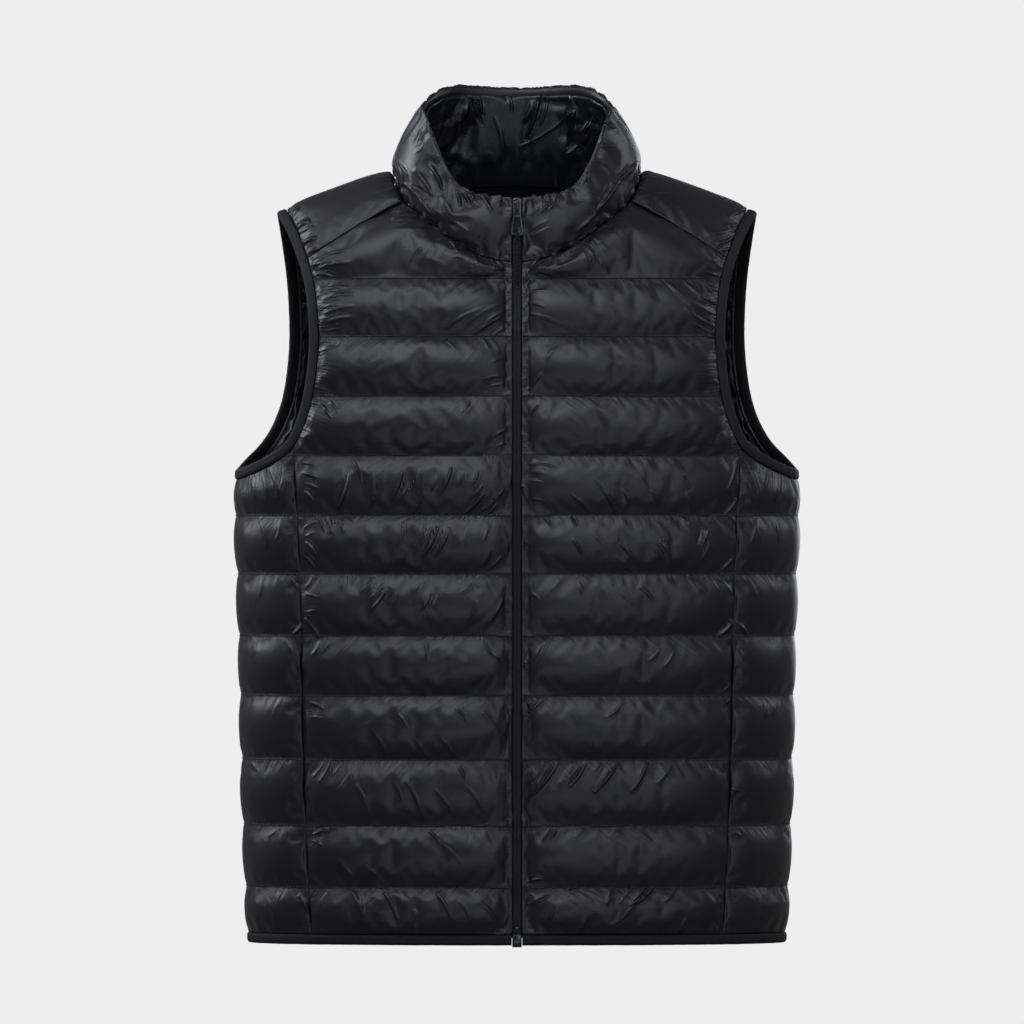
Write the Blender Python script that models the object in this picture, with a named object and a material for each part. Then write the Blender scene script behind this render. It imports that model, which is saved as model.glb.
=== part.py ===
"""A sleeveless quilted puffer vest with a stand collar and a full front zip.

It keeps the hollow form that it has when it is filled out, with neck, armholes and hem open.
Metres, +Z up. The front faces -Y, and the wearer's left is at +X. The origin is midway between
the two shoulders, at the height of the middle of each shoulder ridge.

Every sewn edge and quilt line lies on one smooth form, the seam surface. Each padded piece is a
wall through it: plain on the inside, raised in puffs between the quilt lines on the outside.
"""

import math

import bmesh
import bpy
import numpy as np

MM = 0.001

# The seam surface: superellipses whose half width and depths follow this table.
TORSO = (
    # height, half_width, front_depth, back_depth
    (-0.660, 0.2312, 0.108, 0.102),
    (-0.550, 0.2358, 0.110, 0.101),
    (-0.450, 0.2381, 0.112, 0.100),
    (-0.350, 0.2403, 0.114, 0.102),
    (-0.250, 0.2425, 0.115, 0.108),
    (-0.190, 0.2375, 0.113, 0.111),
    (-0.120, 0.2270, 0.105, 0.109),
    (-0.060, 0.2215, 0.092, 0.100),
    (-0.010, 0.2190, 0.082, 0.082),
    (0.040, 0.2170, 0.072, 0.066),
)
ROUNDNESS = 2.4  # exponent of the superellipse: 2 is an ellipse, more is squarer
NECK_HALF_WIDTH = 0.108
RIDGE_AT_NECK = 0.015
SHOULDER_SLOPE = 0.37
RIDGE_EASE = 0.040  # width over which the two slopes blend into each other behind the neck
SHOULDER_ROUND = 0.100  # height over which the shoulder rounds over, from its ridge down

# Quilt lines, stitched level all round the body, from the top down.
QUILT_LINES = (
    -0.0780,
    -0.1280,
    -0.1790,
    -0.2300,
    -0.2820,
    -0.3325,
    -0.3857,
    -0.4372,
    -0.4922,
    -0.5489,
    -0.6022,
)
BACK_TOP_LINE = -0.040  # one more quilt line, above the others, on the back only
HEM_EDGE = -0.6425

# Half of the neck seam, from the zip to the shoulder ridge, and from there to centre back.
NECK_FRONT = (
    # x, height
    (0.0045, -0.0643),
    (0.0320, -0.0589),
    (0.0572, -0.0451),
    (0.0720, -0.0334),
    (0.0876, -0.0212),
    (0.0988, -0.0097),
    (0.1055, 0.0045),
    (NECK_HALF_WIDTH, RIDGE_AT_NECK),
)
NECK_BACK = (
    # x, height
    (NECK_HALF_WIDTH, RIDGE_AT_NECK),
    (0.1040, 0.0085),
    (0.0850, 0.0065),
    (0.0600, 0.0070),
    (0.0300, 0.0100),
    (0.0, 0.0115),
)
YOKE_CORNER_FRONT = 5  # row of NECK_FRONT where the yoke seam leaves the neck
YOKE_CORNER_BACK = 1  # row of NECK_BACK where it does behind

# The armhole edge of the panels, in front and behind, from the shoulder down to the underarm.
ARMHOLE_TOP = 0.1990
ARMHOLE = (
    # height, front_x, back_x
    (-0.0400, 0.1875, 0.1962),
    (-0.0800, 0.1747, 0.1920),
    (-0.1300, 0.1703, 0.1903),
    (-0.1750, 0.1746, 0.1950),
    (-0.2050, 0.1825, 0.2045),
    (-0.2260, 0.1940, 0.2175),
    (-0.2400, 0.2140, 0.2318),
    (-0.2490, 0.2338, 0.2405),
)
ARMHOLE_BOTTOM = -0.2515
UNDERARM_ROWS = (-0.2470, -0.2385)  # more rows of the back, where its edge runs nearly level
YOKE_SEAM_FRONT_END = -0.0594
YOKE_SEAM_BACK_END = -0.0225

# The pocket seam, which joins each front to its side panel.
POCKET_SEAM = (
    # height, x
    (-0.660, 0.1755),
    (-0.590, 0.1800),
    (-0.450, 0.1838),
    (-0.320, 0.1872),
    (-0.200, 0.1935),
)
POCKET_TOP = -0.3860
POCKET_END = -0.5480
POCKET_SPREAD = 1.5 * MM  # how far each edge stands back from the seam at the pocket's middle
SIDE_SEAM_TURN = math.radians(94.5)  # just behind the widest point, out of sight from the front

# Walls and puffs.
SEAM_GAP = 0.34 * MM
BINDING_GAP = 0.6 * MM
WALL = 2.5 * MM  # from the seam surface in to the plain inside
EDGE_RAISE = 0.4 * MM
FRONT_PUFF = 8.5 * MM
SIDE_PUFF = 1.7 * MM
YOKE_PUFF = 4.5 * MM
FLANGE = 7 * MM  # the flat stitched strip beside the zip
PUFF_RISE = 8 * MM  # distance from a seam over which a puff fills out

# Collar: its rim in plan is a superellipse, and its height follows this table.
RIM_HALF_WIDTH = 0.0820
RIM_FRONT_DEPTH = 0.0665
RIM_BACK_DEPTH = 0.0650
RIM_CENTRE_Y = -0.0225
RIM_ROUNDNESS = 2.3
RIM = (
    # turn from centre front in degrees, height
    (0, -0.0085),
    (26, -0.0035),
    (34, 0.0020),
    (43, 0.0160),
    (51, 0.0310),
    (59, 0.0455),
    (73, 0.0655),
    (90, 0.0705),
    (107, 0.0755),
    (119, 0.0825),
    (131, 0.0880),
    (180, 0.0888),
)
COLLAR_SECTION = (
    # share of the collar's height, outward from the seam surface in mm
    (0.00, -2.5),
    (0.00, 0.5),
    (0.08, 2.6),
    (0.25, 4.3),
    (0.50, 4.8),
    (0.75, 4.0),
    (0.91, 2.4),
    (0.985, 1.0),
    (1.00, -0.6),
    (0.975, -2.2),
    (0.93, -2.5),
    (0.63, -2.5),
    (0.33, -2.5),
)
COLLAR_FRONT_SWELL = 0.6  # share by which the collar is fuller in front

# Linings.
LINING_GAP = 0.6 * MM
LINING_THICKNESS = 1.2 * MM
LINING_PUFF = 3 * MM

# Bindings: outlines across the tape, towards the open edge and outward, in mm.
ARMHOLE_BINDING = ((0.0, -2.4), (0.0, 1.5), (2.2, 2.3), (6.8, 2.3), (8.9, 0.9), (8.9, -1.6), (6.8, -2.8))
HEM_BINDING = ((0.0, -2.4), (0.0, 1.5), (2.2, 2.2), (6.6, 2.0), (8.6, 0.6), (8.6, -1.5), (6.6, -2.6))

# Zip.
ZIP_EDGE = 4.2 * MM  # from centre front to each front's folded edge
TAPE = ((0.25, -4.2), (11.0, -4.2), (11.0, -3.2), (3.7, -3.2), (3.7, -1.3), (2.8, -0.7), (0.25, -0.7))
TAPE_BOTTOM = -0.6415
TAPE_TOP = -0.0110
COIL_HALF_WIDTH = 2.6 * MM
COIL_FRONT = -4.6 * MM
COIL_BACK = -6.4 * MM
SLIDER_TOP = -0.0090
SLIDER_BOTTOM = -0.0275
SLIDER_HALF_WIDTH = 3.7 * MM
SLIDER_BACK = -0.35 * MM
SLIDER_FRONT = 1.5 * MM
STOP_HALF_WIDTH = 4.1 * MM
STOP_TOP = -0.6420
STOP_BOTTOM = -0.6532
ARCH_HALF_WIDTH = 0.95 * MM
ARCH_THICKNESS = 0.9 * MM
ARCH_ABOVE_PIN = 3.6 * MM
ARCH_BELOW_PIN = 8.4 * MM
PULL_PIN = -0.0130  # height of the joint's axis
PULL_END = -0.0416
PULL_MIDDLE = 2.45 * MM  # outward, middle of the pull's thickness
PULL_HALF_THICKNESS = 0.6 * MM
POCKET_ZIP = (
    # across, as a share of the room between the edges, and outward in mm
    (-1, -2.3),
    (1, -2.3),
    (1, -0.9),
    (0, -0.4),
    (-1, -0.9),
)


# ---------------------------------------------------------------- curves and the seam surface


def smooth(table, column, at):
    """A column of a table, at values of its first column, on a smooth curve through the rows."""
    rows = np.array(table, float)
    knots, values = rows[:, 0], rows[:, column]
    slopes = np.gradient(values, knots)
    row = np.clip(np.searchsorted(knots, at) - 1, 0, len(knots) - 2)
    span = knots[row + 1] - knots[row]
    t = (at - knots[row]) / span
    start, end = values[row], values[row + 1]
    rise = slopes[row] * span
    fall = slopes[row + 1] * span
    return (
        (2 * t**3 - 3 * t**2 + 1) * start
        + (t**3 - 2 * t**2 + t) * rise
        + (3 * t**2 - 2 * t**3) * end
        + (t**3 - t**2) * fall
    )


def ridge_height(x):
    """Height of the shoulder ridge above x."""
    from_neck = np.hypot(x, RIDGE_EASE) - math.hypot(NECK_HALF_WIDTH, RIDGE_EASE)
    return RIDGE_AT_NECK - SHOULDER_SLOPE * from_neck


def seam_surface(x, z, side):
    """Points of the seam surface and its outward normals. Side is -1 in front and 1 behind."""
    x, z, side = np.broadcast_arrays(np.asarray(x, float), np.asarray(z, float), np.asarray(side, float))
    depth_column = [smooth(TORSO, 2, z), smooth(TORSO, 3, z)]
    width = smooth(TORSO, 1, z)
    depth = np.where(side < 0, *depth_column)
    step = 0.5 * MM
    width_slope = (smooth(TORSO, 1, z + step) - smooth(TORSO, 1, z - step)) / (2 * step)
    depth_slopes = [(smooth(TORSO, c, z + step) - smooth(TORSO, c, z - step)) / (2 * step) for c in (2, 3)]
    depth_slope = np.where(side < 0, *depth_slopes)
    across = np.clip(x / width, 1e-9, 1 - 1e-7)
    fullness = (1 - across**ROUNDNESS) ** (1 / ROUNDNESS)
    fullness_slope = -(across ** (ROUNDNESS - 1)) * (1 - across**ROUNDNESS) ** (1 / ROUNDNESS - 1)
    drop = np.clip((ridge_height(x) - z) / SHOULDER_ROUND, 1e-7, 1)
    rounding = np.sqrt(1 - (1 - drop) ** 2)
    rounding_slope = (1 - drop) / rounding / SHOULDER_ROUND
    ridge_slope = -SHOULDER_SLOPE * x / np.hypot(x, RIDGE_EASE)
    slope_x = depth * (fullness_slope / width * rounding + fullness * rounding_slope * ridge_slope)
    slope_z = (
        depth_slope * fullness * rounding
        - depth * fullness_slope * across * width_slope / width * rounding
        - depth * fullness * rounding_slope
    )
    points = np.stack([x, side * depth * fullness * rounding, z], axis=-1)
    normals = np.stack([-slope_x, side, -slope_z], axis=-1)
    return points, normals / np.linalg.norm(normals, axis=-1, keepdims=True)


def x_at(turn, z):
    """x of the seam surface at this height, with turn 0 at centre front and pi at centre back."""
    return smooth(TORSO, 1, z) * np.abs(np.sin(turn)) ** (2 / ROUNDNESS)


def turn_at(x, z, side):
    """The inverse of x_at."""
    across = np.clip(x / smooth(TORSO, 1, z), 0, 1)
    front = np.arcsin(across ** (ROUNDNESS / 2))
    return np.where(np.asarray(side) < 0, front, math.pi - front)


def curve(rows, per_row=24):
    """A dense, smooth curve through the rows."""
    index = np.arange(len(rows), dtype=float)
    table = [(i, *row) for i, row in zip(index, rows)]
    at = np.linspace(0, index[-1], per_row * (len(rows) - 1) + 1)
    return np.stack([smooth(table, column, at) for column in range(1, len(rows[0]) + 1)], axis=-1)


class Path:
    """A curve on the seam surface, read by its length."""

    def __init__(self, x, z, side):
        self.x, self.z, self.side = np.broadcast_arrays(x, z, side)
        points = seam_surface(self.x, self.z, self.side)[0]
        steps = np.linalg.norm(np.diff(points, axis=0), axis=1)
        self.reach = np.concatenate([[0], np.cumsum(steps)])
        self.length = self.reach[-1]

    def at(self, distances):
        """x, height and side at these distances from its start."""
        side = np.where(np.interp(distances, self.reach, self.side) < 0, -1.0, 1.0)
        return (
            np.interp(distances, self.reach, self.x),
            np.interp(distances, self.reach, self.z),
            side,
        )


def join(*paths):
    return Path(*(np.concatenate([getattr(path, name) for path in paths]) for name in ("x", "z", "side")))


def rows_path(rows, side):
    points = curve(rows)
    return Path(points[:, 0], points[:, 1], side)


def corner_reach(rows, corner, side):
    """Length of a rows_path up to one of its rows."""
    return rows_path(rows[: corner + 1], side).length


# ---------------------------------------------------------------- edges shared by the pieces


def armhole_branch(column, side):
    """The armhole edge from the shoulder ridge to the underarm, in front or behind."""
    rows = [(ARMHOLE_TOP, float(ridge_height(ARMHOLE_TOP)))]
    rows += [(row[column], row[0]) for row in ARMHOLE]
    rows += [(float(smooth(TORSO, 1, ARMHOLE_BOTTOM)), ARMHOLE_BOTTOM)]
    return rows_path(rows, side)


ARMHOLE_FRONT_PATH = armhole_branch(1, -1)
ARMHOLE_BACK_PATH = armhole_branch(2, 1)


def armhole_x(z, side):
    path = ARMHOLE_FRONT_PATH if side < 0 else ARMHOLE_BACK_PATH
    return np.interp(-z, -path.z, path.x)


def pocket_spread(z):
    """How far the two edges stand back from the pocket seam: they part round the pocket's zip."""
    middle = (POCKET_TOP + POCKET_END) / 2
    half = (POCKET_TOP - POCKET_END) / 2
    part = np.clip(1 - ((z - middle) / half) ** 4, 0, 1)
    return SEAM_GAP / 2 + POCKET_SPREAD * part


def pocket_x(z):
    return smooth(POCKET_SEAM, 1, z)


def armhole_corner(path, turn_of_height):
    """Height where the armhole meets a seam, which lies at turn_of_height(height)."""
    turns = turn_at(path.x, path.z, path.side)
    below = path.z < -0.15
    past = turns[below] - turn_of_height(path.z[below])
    order = np.argsort(past)
    return float(np.interp(0, past[order], path.z[below][order]))


POCKET_CORNER = armhole_corner(ARMHOLE_FRONT_PATH, lambda z: turn_at(pocket_x(z), z, -1))
SIDE_CORNER = armhole_corner(ARMHOLE_BACK_PATH, lambda z: SIDE_SEAM_TURN + 0 * z)

NECK_FRONT_PATH = rows_path(NECK_FRONT, -1)
NECK_BACK_PATH = rows_path(NECK_BACK, 1)


def yoke_seam(neck_row, end_z, side):
    """The straight yoke seam from its neck corner to the armhole."""
    end_x = float(armhole_x(end_z, side))
    share = np.linspace(0, 1, 60)
    bow = 1.2 * MM * np.sin(math.pi * share)
    return Path(
        neck_row[0] + (end_x - neck_row[0]) * share,
        neck_row[1] + (end_z - neck_row[1]) * share + bow,
        side,
    )


YOKE_FRONT_SEAM = yoke_seam(NECK_FRONT[YOKE_CORNER_FRONT], YOKE_SEAM_FRONT_END, -1)
YOKE_BACK_SEAM = yoke_seam(NECK_BACK[YOKE_CORNER_BACK], YOKE_SEAM_BACK_END, 1)


# ---------------------------------------------------------------- meshes


def material(name, colour, roughness, metallic=0.0):
    made = bpy.data.materials.new(name)
    made.use_nodes = True
    shader = made.node_tree.nodes["Principled BSDF"]
    shader.inputs["Base Color"].default_value = (*colour, 1)
    shader.inputs["Roughness"].default_value = roughness
    shader.inputs["Metallic"].default_value = metallic
    return made


def add_object(name, points, faces, finish, mirrored=False):
    """A mesh object from points and faces. The mirrored one is the same shape at the other side."""
    points = np.array(points, float)
    if mirrored:
        points[:, 0] *= -1
        faces = [tuple(reversed(face)) for face in faces]
    mesh = bpy.data.meshes.new(name)
    mesh.from_pydata(points.tolist(), [], [tuple(int(i) for i in face) for face in faces])
    built = bmesh.new()
    built.from_mesh(mesh)
    bmesh.ops.recalc_face_normals(built, faces=built.faces)
    if built.calc_volume(signed=True) < 0:
        bmesh.ops.reverse_faces(built, faces=built.faces)
    built.to_mesh(mesh)
    built.free()
    mesh.shade_smooth()
    mesh.set_sharp_from_angle(angle=math.radians(40))
    mesh.materials.append(material(name, *finish))
    made = bpy.data.objects.new(name, mesh)
    bpy.context.scene.collection.objects.link(made)
    return made


def wall_mesh(outer, inner, inner_rows):
    """A closed wall from a grid of outer points and the grid of inner points of some of its rows."""
    count_rows, count_columns = outer.shape[:2]
    points = np.concatenate([outer.reshape(-1, 3), inner.reshape(-1, 3)])
    first_inner = count_rows * count_columns

    def out(row, column):
        return row * count_columns + column

    def within(row, column):
        return first_inner + row * count_columns + column

    faces = []
    for row in range(count_rows - 1):
        for column in range(count_columns - 1):
            low, high = out(row, column), out(row + 1, column)
            faces.append((low, low + 1, high + 1, high))
    for step in range(len(inner_rows) - 1):
        for column in range(count_columns - 1):
            low, high = within(step, column), within(step + 1, column)
            faces.append((low, high, high + 1, low + 1))
        low, high = inner_rows[step], inner_rows[step + 1]
        for column, forward in ((0, True), (count_columns - 1, False)):
            edge = [out(row, column) for row in range(low, high + 1)]
            edge += [within(step + 1, column), within(step, column)]
            faces.append(tuple(edge if forward else reversed(edge)))
    top, last = count_rows - 1, len(inner_rows) - 1
    for column in range(count_columns - 1):
        low, high = out(0, column), within(0, column)
        faces.append((low, high, high + 1, low + 1))
        low, high = out(top, column), within(last, column)
        faces.append((low, low + 1, high + 1, high))
    return points, faces


def sweep_mesh(sections, closed):
    """A bar through sections, which are arrays of points round it; closed joins its two ends."""
    count, around = len(sections), len(sections[0])
    points = np.concatenate(sections)
    faces = []
    for step in range(count if closed else count - 1):
        here, there = step * around, (step + 1) % count * around
        for i in range(around):
            j = (i + 1) % around
            faces.append((here + i, here + j, there + j, there + i))
    if not closed:
        faces.append(tuple(reversed(range(around))))
        faces.append(tuple((count - 1) * around + i for i in range(around)))
    return points, faces


# ---------------------------------------------------------------- quilted panels


def puff_profile(share):
    """Height of a puff between two quilt lines, from 0 at each to 1: fullest just under its middle."""
    return (1 - np.abs(2 * np.asarray(share) ** 1.08 - 1) ** 2.2) ** 0.8


def rise_from(distance):
    return 1 - np.exp(-np.maximum(distance, 0) / PUFF_RISE)


def puff_height(turn, baffle):
    """Fullness round the body: full in front and behind, less at the sides, never quite even."""
    full = SIDE_PUFF + (FRONT_PUFF - SIDE_PUFF) * np.abs(np.cos(turn)) ** 0.6
    return full * (1 + 0.10 * np.sin(5.3 * turn + 2.1 * baffle) + 0.05 * np.sin(11.9 * turn + 1.3 * baffle))


def spread(length, near_start, near_end, between):
    """Distances along a row: set ones near its two ends, and even ones between them."""
    middle = np.linspace(near_start[-1], length - near_end[-1], between + 2)[1:-1]
    return np.concatenate([near_start, middle, length - np.array(near_end[::-1])])


def level_path(z, start_turn, end_turn):
    turn = np.linspace(start_turn, end_turn, 160)
    return Path(x_at(turn, z), z, np.where(turn < math.pi / 2, -1.0, 1.0))


def baffle_rows(lines, extra):
    """(height, baffle, share) of the rows between quilt lines, from the lowest up."""
    rows = []
    for baffle, (low, high) in enumerate(zip(lines, lines[1:])):
        heights = [low + (high - low) * share for share in (0, 0.24, 0.5, 0.76)]
        heights = [z for z in heights if z == low or all(abs(z - corner) > 3.5 * MM for corner in extra)]
        heights += [corner for corner in extra if low + 2 * MM < corner < high - 2 * MM]
        rows += [(z, baffle, (z - low) / (high - low)) for z in sorted(heights)]
    rows.append((lines[-1], len(lines) - 2, 1.0))
    return rows


def quilted_wall(rows, top_row, distances_of, raise_of, inner_below):
    """The wall of a quilted panel.

    rows: (height, baffle, share, path) up to the last quilt line. top_row: the path and distances
    of the panel's top edge. Between that line and the top edge the rows blend from one to the other.
    """
    grid = []
    for z, baffle, share, path in rows:
        distances = distances_of(path.length)
        x, height, side = path.at(distances)
        grid.append((x, height, side, distances, path.length, baffle, share))
    line = grid[-1]
    path, distances = top_row
    top_x, top_z, top_side = path.at(distances)
    for share in (0.24, 0.5, 0.76, 1.0):
        x = line[0] + (top_x - line[0]) * share
        height = line[1] + (top_z - line[1]) * share
        reach = line[3] + (distances - line[3]) * share
        length = line[4] + (path.length - line[4]) * share
        grid.append((x, height, line[2], reach, length, line[5] + 1, share))
    outer, inner = [], []
    lines = [0]
    for number, (x, height, side, reach, length, baffle, share) in enumerate(grid):
        points, normals = seam_surface(x, height, side)
        turn = turn_at(x, height, side)
        lift = raise_of(turn, reach, length, baffle, share)
        outer.append(points + normals * lift[:, None])
        keep = share in (0.0, 1.0) or height.max() > inner_below - 2 * MM
        if keep and number > 0:
            lines.append(number)
        inner.append(points - normals * WALL)
    return wall_mesh(np.array(outer), np.array([inner[number] for number in lines]), lines)


def front_panel():
    lines = sorted([HEM_EDGE, *QUILT_LINES])
    rows = []
    for z, baffle, share in baffle_rows(lines, (POCKET_CORNER,)):
        if z < POCKET_CORNER + 0.1 * MM:
            path = level_path(z, turn_at(ZIP_EDGE, z, -1), turn_at(pocket_x(z), z, -1))
            trim = float(pocket_spread(z))
        else:
            path = level_path(z, turn_at(ZIP_EDGE, z, -1), turn_at(armhole_x(z, -1), z, -1))
            trim = 0.0
        end_x = path.at(path.length - trim)[0]
        path = level_path(z, turn_at(ZIP_EDGE, z, -1), turn_at(end_x, z, -1))
        rows.append((z, baffle, share, path))
    near_zip = np.array([0, FLANGE, 14 * MM, 26 * MM])
    near_seam = np.array([0, 9 * MM, 22 * MM])
    to_corner = corner_reach(NECK_FRONT, YOKE_CORNER_FRONT, -1)
    neck = rows_path(NECK_FRONT[: YOKE_CORNER_FRONT + 1], -1)
    top = join(neck, YOKE_FRONT_SEAM)
    top = Path(top.x, top.z - SEAM_GAP * 1.3, top.side)
    first = spread(to_corner, near_zip, np.array([0.0]), 3)
    second = to_corner + spread(top.length - to_corner, np.array([0.0]), near_seam, 2)
    distances = np.concatenate([first, second[1:]])
    between = len(distances) - len(near_zip) - len(near_seam)

    def lift(turn, reach, length, baffle, share):
        puff = puff_height(turn, baffle) * puff_profile(share)
        return EDGE_RAISE + puff * rise_from(reach - FLANGE) * (0.12 + 0.88 * rise_from(length - reach))

    def distances_of(length):
        return spread(length, near_zip, near_seam, between)

    return quilted_wall(rows, (top, distances), distances_of, lift, POCKET_CORNER)


def side_panel():
    lines = sorted([HEM_EDGE, *(z for z in QUILT_LINES if z < SIDE_CORNER - 10 * MM)])
    rows = []
    for z, baffle, share in baffle_rows(lines, ()):
        path = level_path(z, turn_at(pocket_x(z), z, -1), SIDE_SEAM_TURN)
        start = path.at(float(pocket_spread(z)))
        end = path.at(path.length - SEAM_GAP / 2)
        path = level_path(z, turn_at(start[0], z, -1), turn_at(end[0], z, 1))
        rows.append((z, baffle, share, path))
    loop_x = np.concatenate([ARMHOLE_FRONT_PATH.x, ARMHOLE_BACK_PATH.x[::-1]])
    loop_z = np.concatenate([ARMHOLE_FRONT_PATH.z, ARMHOLE_BACK_PATH.z[::-1]])
    loop_side = np.concatenate([ARMHOLE_FRONT_PATH.side, ARMHOLE_BACK_PATH.side])
    turns = turn_at(loop_x, loop_z, loop_side)
    under = loop_z < -0.20
    turn = np.linspace(float(turn_at(pocket_x(POCKET_CORNER), POCKET_CORNER, -1)), SIDE_SEAM_TURN, 120)
    z = np.interp(turn, turns[under], loop_z[under])
    top = Path(x_at(turn, z), z, np.where(turn < math.pi / 2, -1.0, 1.0))
    ends = np.array([0, 8 * MM, 20 * MM])

    def distances_of(length):
        return spread(length, ends, ends, 3)

    top_distances = distances_of(top.length)
    top_distances[0] = SEAM_GAP / 2
    top_distances[-1] -= SEAM_GAP / 2

    def lift(turn, reach, length, baffle, share):
        puff = puff_height(turn, baffle + 0.5) * puff_profile(share)
        puff *= (0.12 + 0.88 * rise_from(reach)) * (0.3 + 0.7 * rise_from(length - reach))
        return EDGE_RAISE + puff

    return side_wall(rows, top, top_distances, distances_of, lift)


def side_wall(rows, top, top_distances, distances_of, raise_of):
    """A side panel's wall: its rows cross the widest point, so they blend by turn and not by x."""
    outer, inner, lines = [], [], []
    reach_of_rows = []
    for z, baffle, share, path in rows:
        distances = distances_of(path.length)
        x, height, side = path.at(distances)
        reach_of_rows.append((turn_at(x, height, side), height, distances, path.length, baffle, share))
    line = reach_of_rows[-1]
    x, top_z, side = top.at(top_distances)
    top_turn = turn_at(x, top_z, side)
    for share in (0.3, 0.62, 1.0):
        turn = line[0] + (top_turn - line[0]) * share
        height = line[1] + (top_z - line[1]) * share
        reach = line[2] + (top_distances - line[2]) * share
        reach_of_rows.append((turn, height, reach, line[3], line[4] + 1, share))
    for number, (turn, height, reach, length, baffle, share) in enumerate(reach_of_rows):
        side = np.where(turn < math.pi / 2, -1.0, 1.0)
        points, normals = seam_surface(x_at(turn, height), height, side)
        lift = raise_of(turn, reach, length, baffle, share)
        outer.append(points + normals * lift[:, None])
        if number == 0 or share in (0.0, 1.0):
            lines.append(number)
            inner.append(points - normals * WALL)
    return wall_mesh(np.array(outer), np.array(inner), lines)


def back_top_path():
    """The back's top edge, from centre back to the armhole."""
    neck = rows_path(NECK_BACK[YOKE_CORNER_BACK:][::-1], 1)
    top = join(neck, YOKE_BACK_SEAM)
    return Path(top.x, top.z - SEAM_GAP * 1.3, top.side), neck.length


def back_rows():
    """Rows of half the back, from centre back to its edge, as quilted_wall takes them."""
    lines = sorted([HEM_EDGE, *QUILT_LINES, BACK_TOP_LINE])
    rows = []
    for z, baffle, share in baffle_rows(lines, (SIDE_CORNER, *UNDERARM_ROWS)):
        if z < SIDE_CORNER + 0.1 * MM:
            path = level_path(z, math.pi - 1e-4, SIDE_SEAM_TURN)
            path = level_path(z, math.pi - 1e-4, turn_at(path.at(path.length - SEAM_GAP / 2)[0], z, 1))
        else:
            path = level_path(z, math.pi - 1e-4, turn_at(armhole_x(z, 1), z, 1))
        rows.append((z, baffle, share, path))
    return rows


BACK_NEAR_SEAM = np.array([0, 9 * MM, 22 * MM])


def back_distances():
    """Distances along the back's top edge, with one at its neck corner, and a function for rows."""
    top, corner = back_top_path()
    first = spread(corner, np.array([0.0]), np.array([0.0]), 4)
    second = corner + spread(top.length - corner, np.array([0.0]), BACK_NEAR_SEAM, 1)
    distances = np.concatenate([first, second[1:]])
    between = len(distances) - 1 - len(BACK_NEAR_SEAM)
    return top, distances, lambda length: spread(length, np.array([0.0]), BACK_NEAR_SEAM, between)


def mirrored_halves(points, faces):
    """Joins a half piece, whose x=0 edge is open on the plane, to its mirror image."""
    built = bmesh.new()
    for sign in (1, -1):
        verts = [built.verts.new((sign * p[0], p[1], p[2])) for p in points]
        for face in faces:
            if all(points[i][0] < 0.02 * MM for i in face):
                continue
            built.faces.new([verts[i] for i in (face if sign > 0 else reversed(face))])
    bmesh.ops.remove_doubles(built, verts=built.verts, dist=0.1 * MM)
    loose = [v for v in built.verts if not v.link_faces]
    bmesh.ops.delete(built, geom=loose, context="VERTS")
    built.verts.index_update()
    joined_points = np.array([v.co[:] for v in built.verts])
    joined_faces = [tuple(v.index for v in face.verts) for face in built.faces]
    built.free()
    return joined_points, joined_faces


def on_centre(points):
    """Puts the points that lie next to the centre plane exactly on it."""
    points[np.abs(points[:, 0]) < 0.3 * MM, 0] = 0
    return points


def back_panel():
    top, distances, distances_of = back_distances()

    def lift(turn, reach, length, baffle, share):
        puff = puff_height(turn, baffle) * puff_profile(share)
        return EDGE_RAISE + puff * (0.12 + 0.88 * rise_from(length - reach))

    points, faces = quilted_wall(back_rows(), (top, distances), distances_of, lift, SIDE_CORNER)
    return mirrored_halves(on_centre(points), faces)


def back_lining():
    """A thin sheet just inside the back, with low puffs towards the body."""
    top, distances, distances_of = back_distances()
    grid = []
    for z, baffle, share, path in back_rows():
        if z < SIDE_CORNER - 10 * MM and share not in (0.0, 0.5):
            continue
        reach = distances_of(path.length - 1 * MM)
        grid.append((*path.at(reach), baffle, share))
    x, z, side = top.at(np.minimum(distances, top.length - 1 * MM))
    line = grid[-1]
    for share in (0.5, 0.93):
        at_share = (line[0] + (x - line[0]) * share, line[1] + (z - line[1]) * share)
        grid.append((*at_share, side, line[3] + 1, share))
    body_side, back_side, lines = [], [], []
    for number, (x, height, side, baffle, share) in enumerate(grid):
        points, normals = seam_surface(x, height, side)
        puff = LINING_PUFF * puff_profile(share) if share < 0.9 or number < len(grid) - 1 else 0.0
        deep = WALL + LINING_GAP + LINING_THICKNESS + puff
        body_side.append(points - normals * deep)
        if number in (0, len(grid) - 1) or share == 0.0 or height.max() > SIDE_CORNER - 2 * MM:
            lines.append(number)
            back_side.append(points - normals * (WALL + LINING_GAP))
    points, faces = wall_mesh(np.array(body_side), np.array(back_side), lines)
    return mirrored_halves(on_centre(points), faces)


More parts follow.
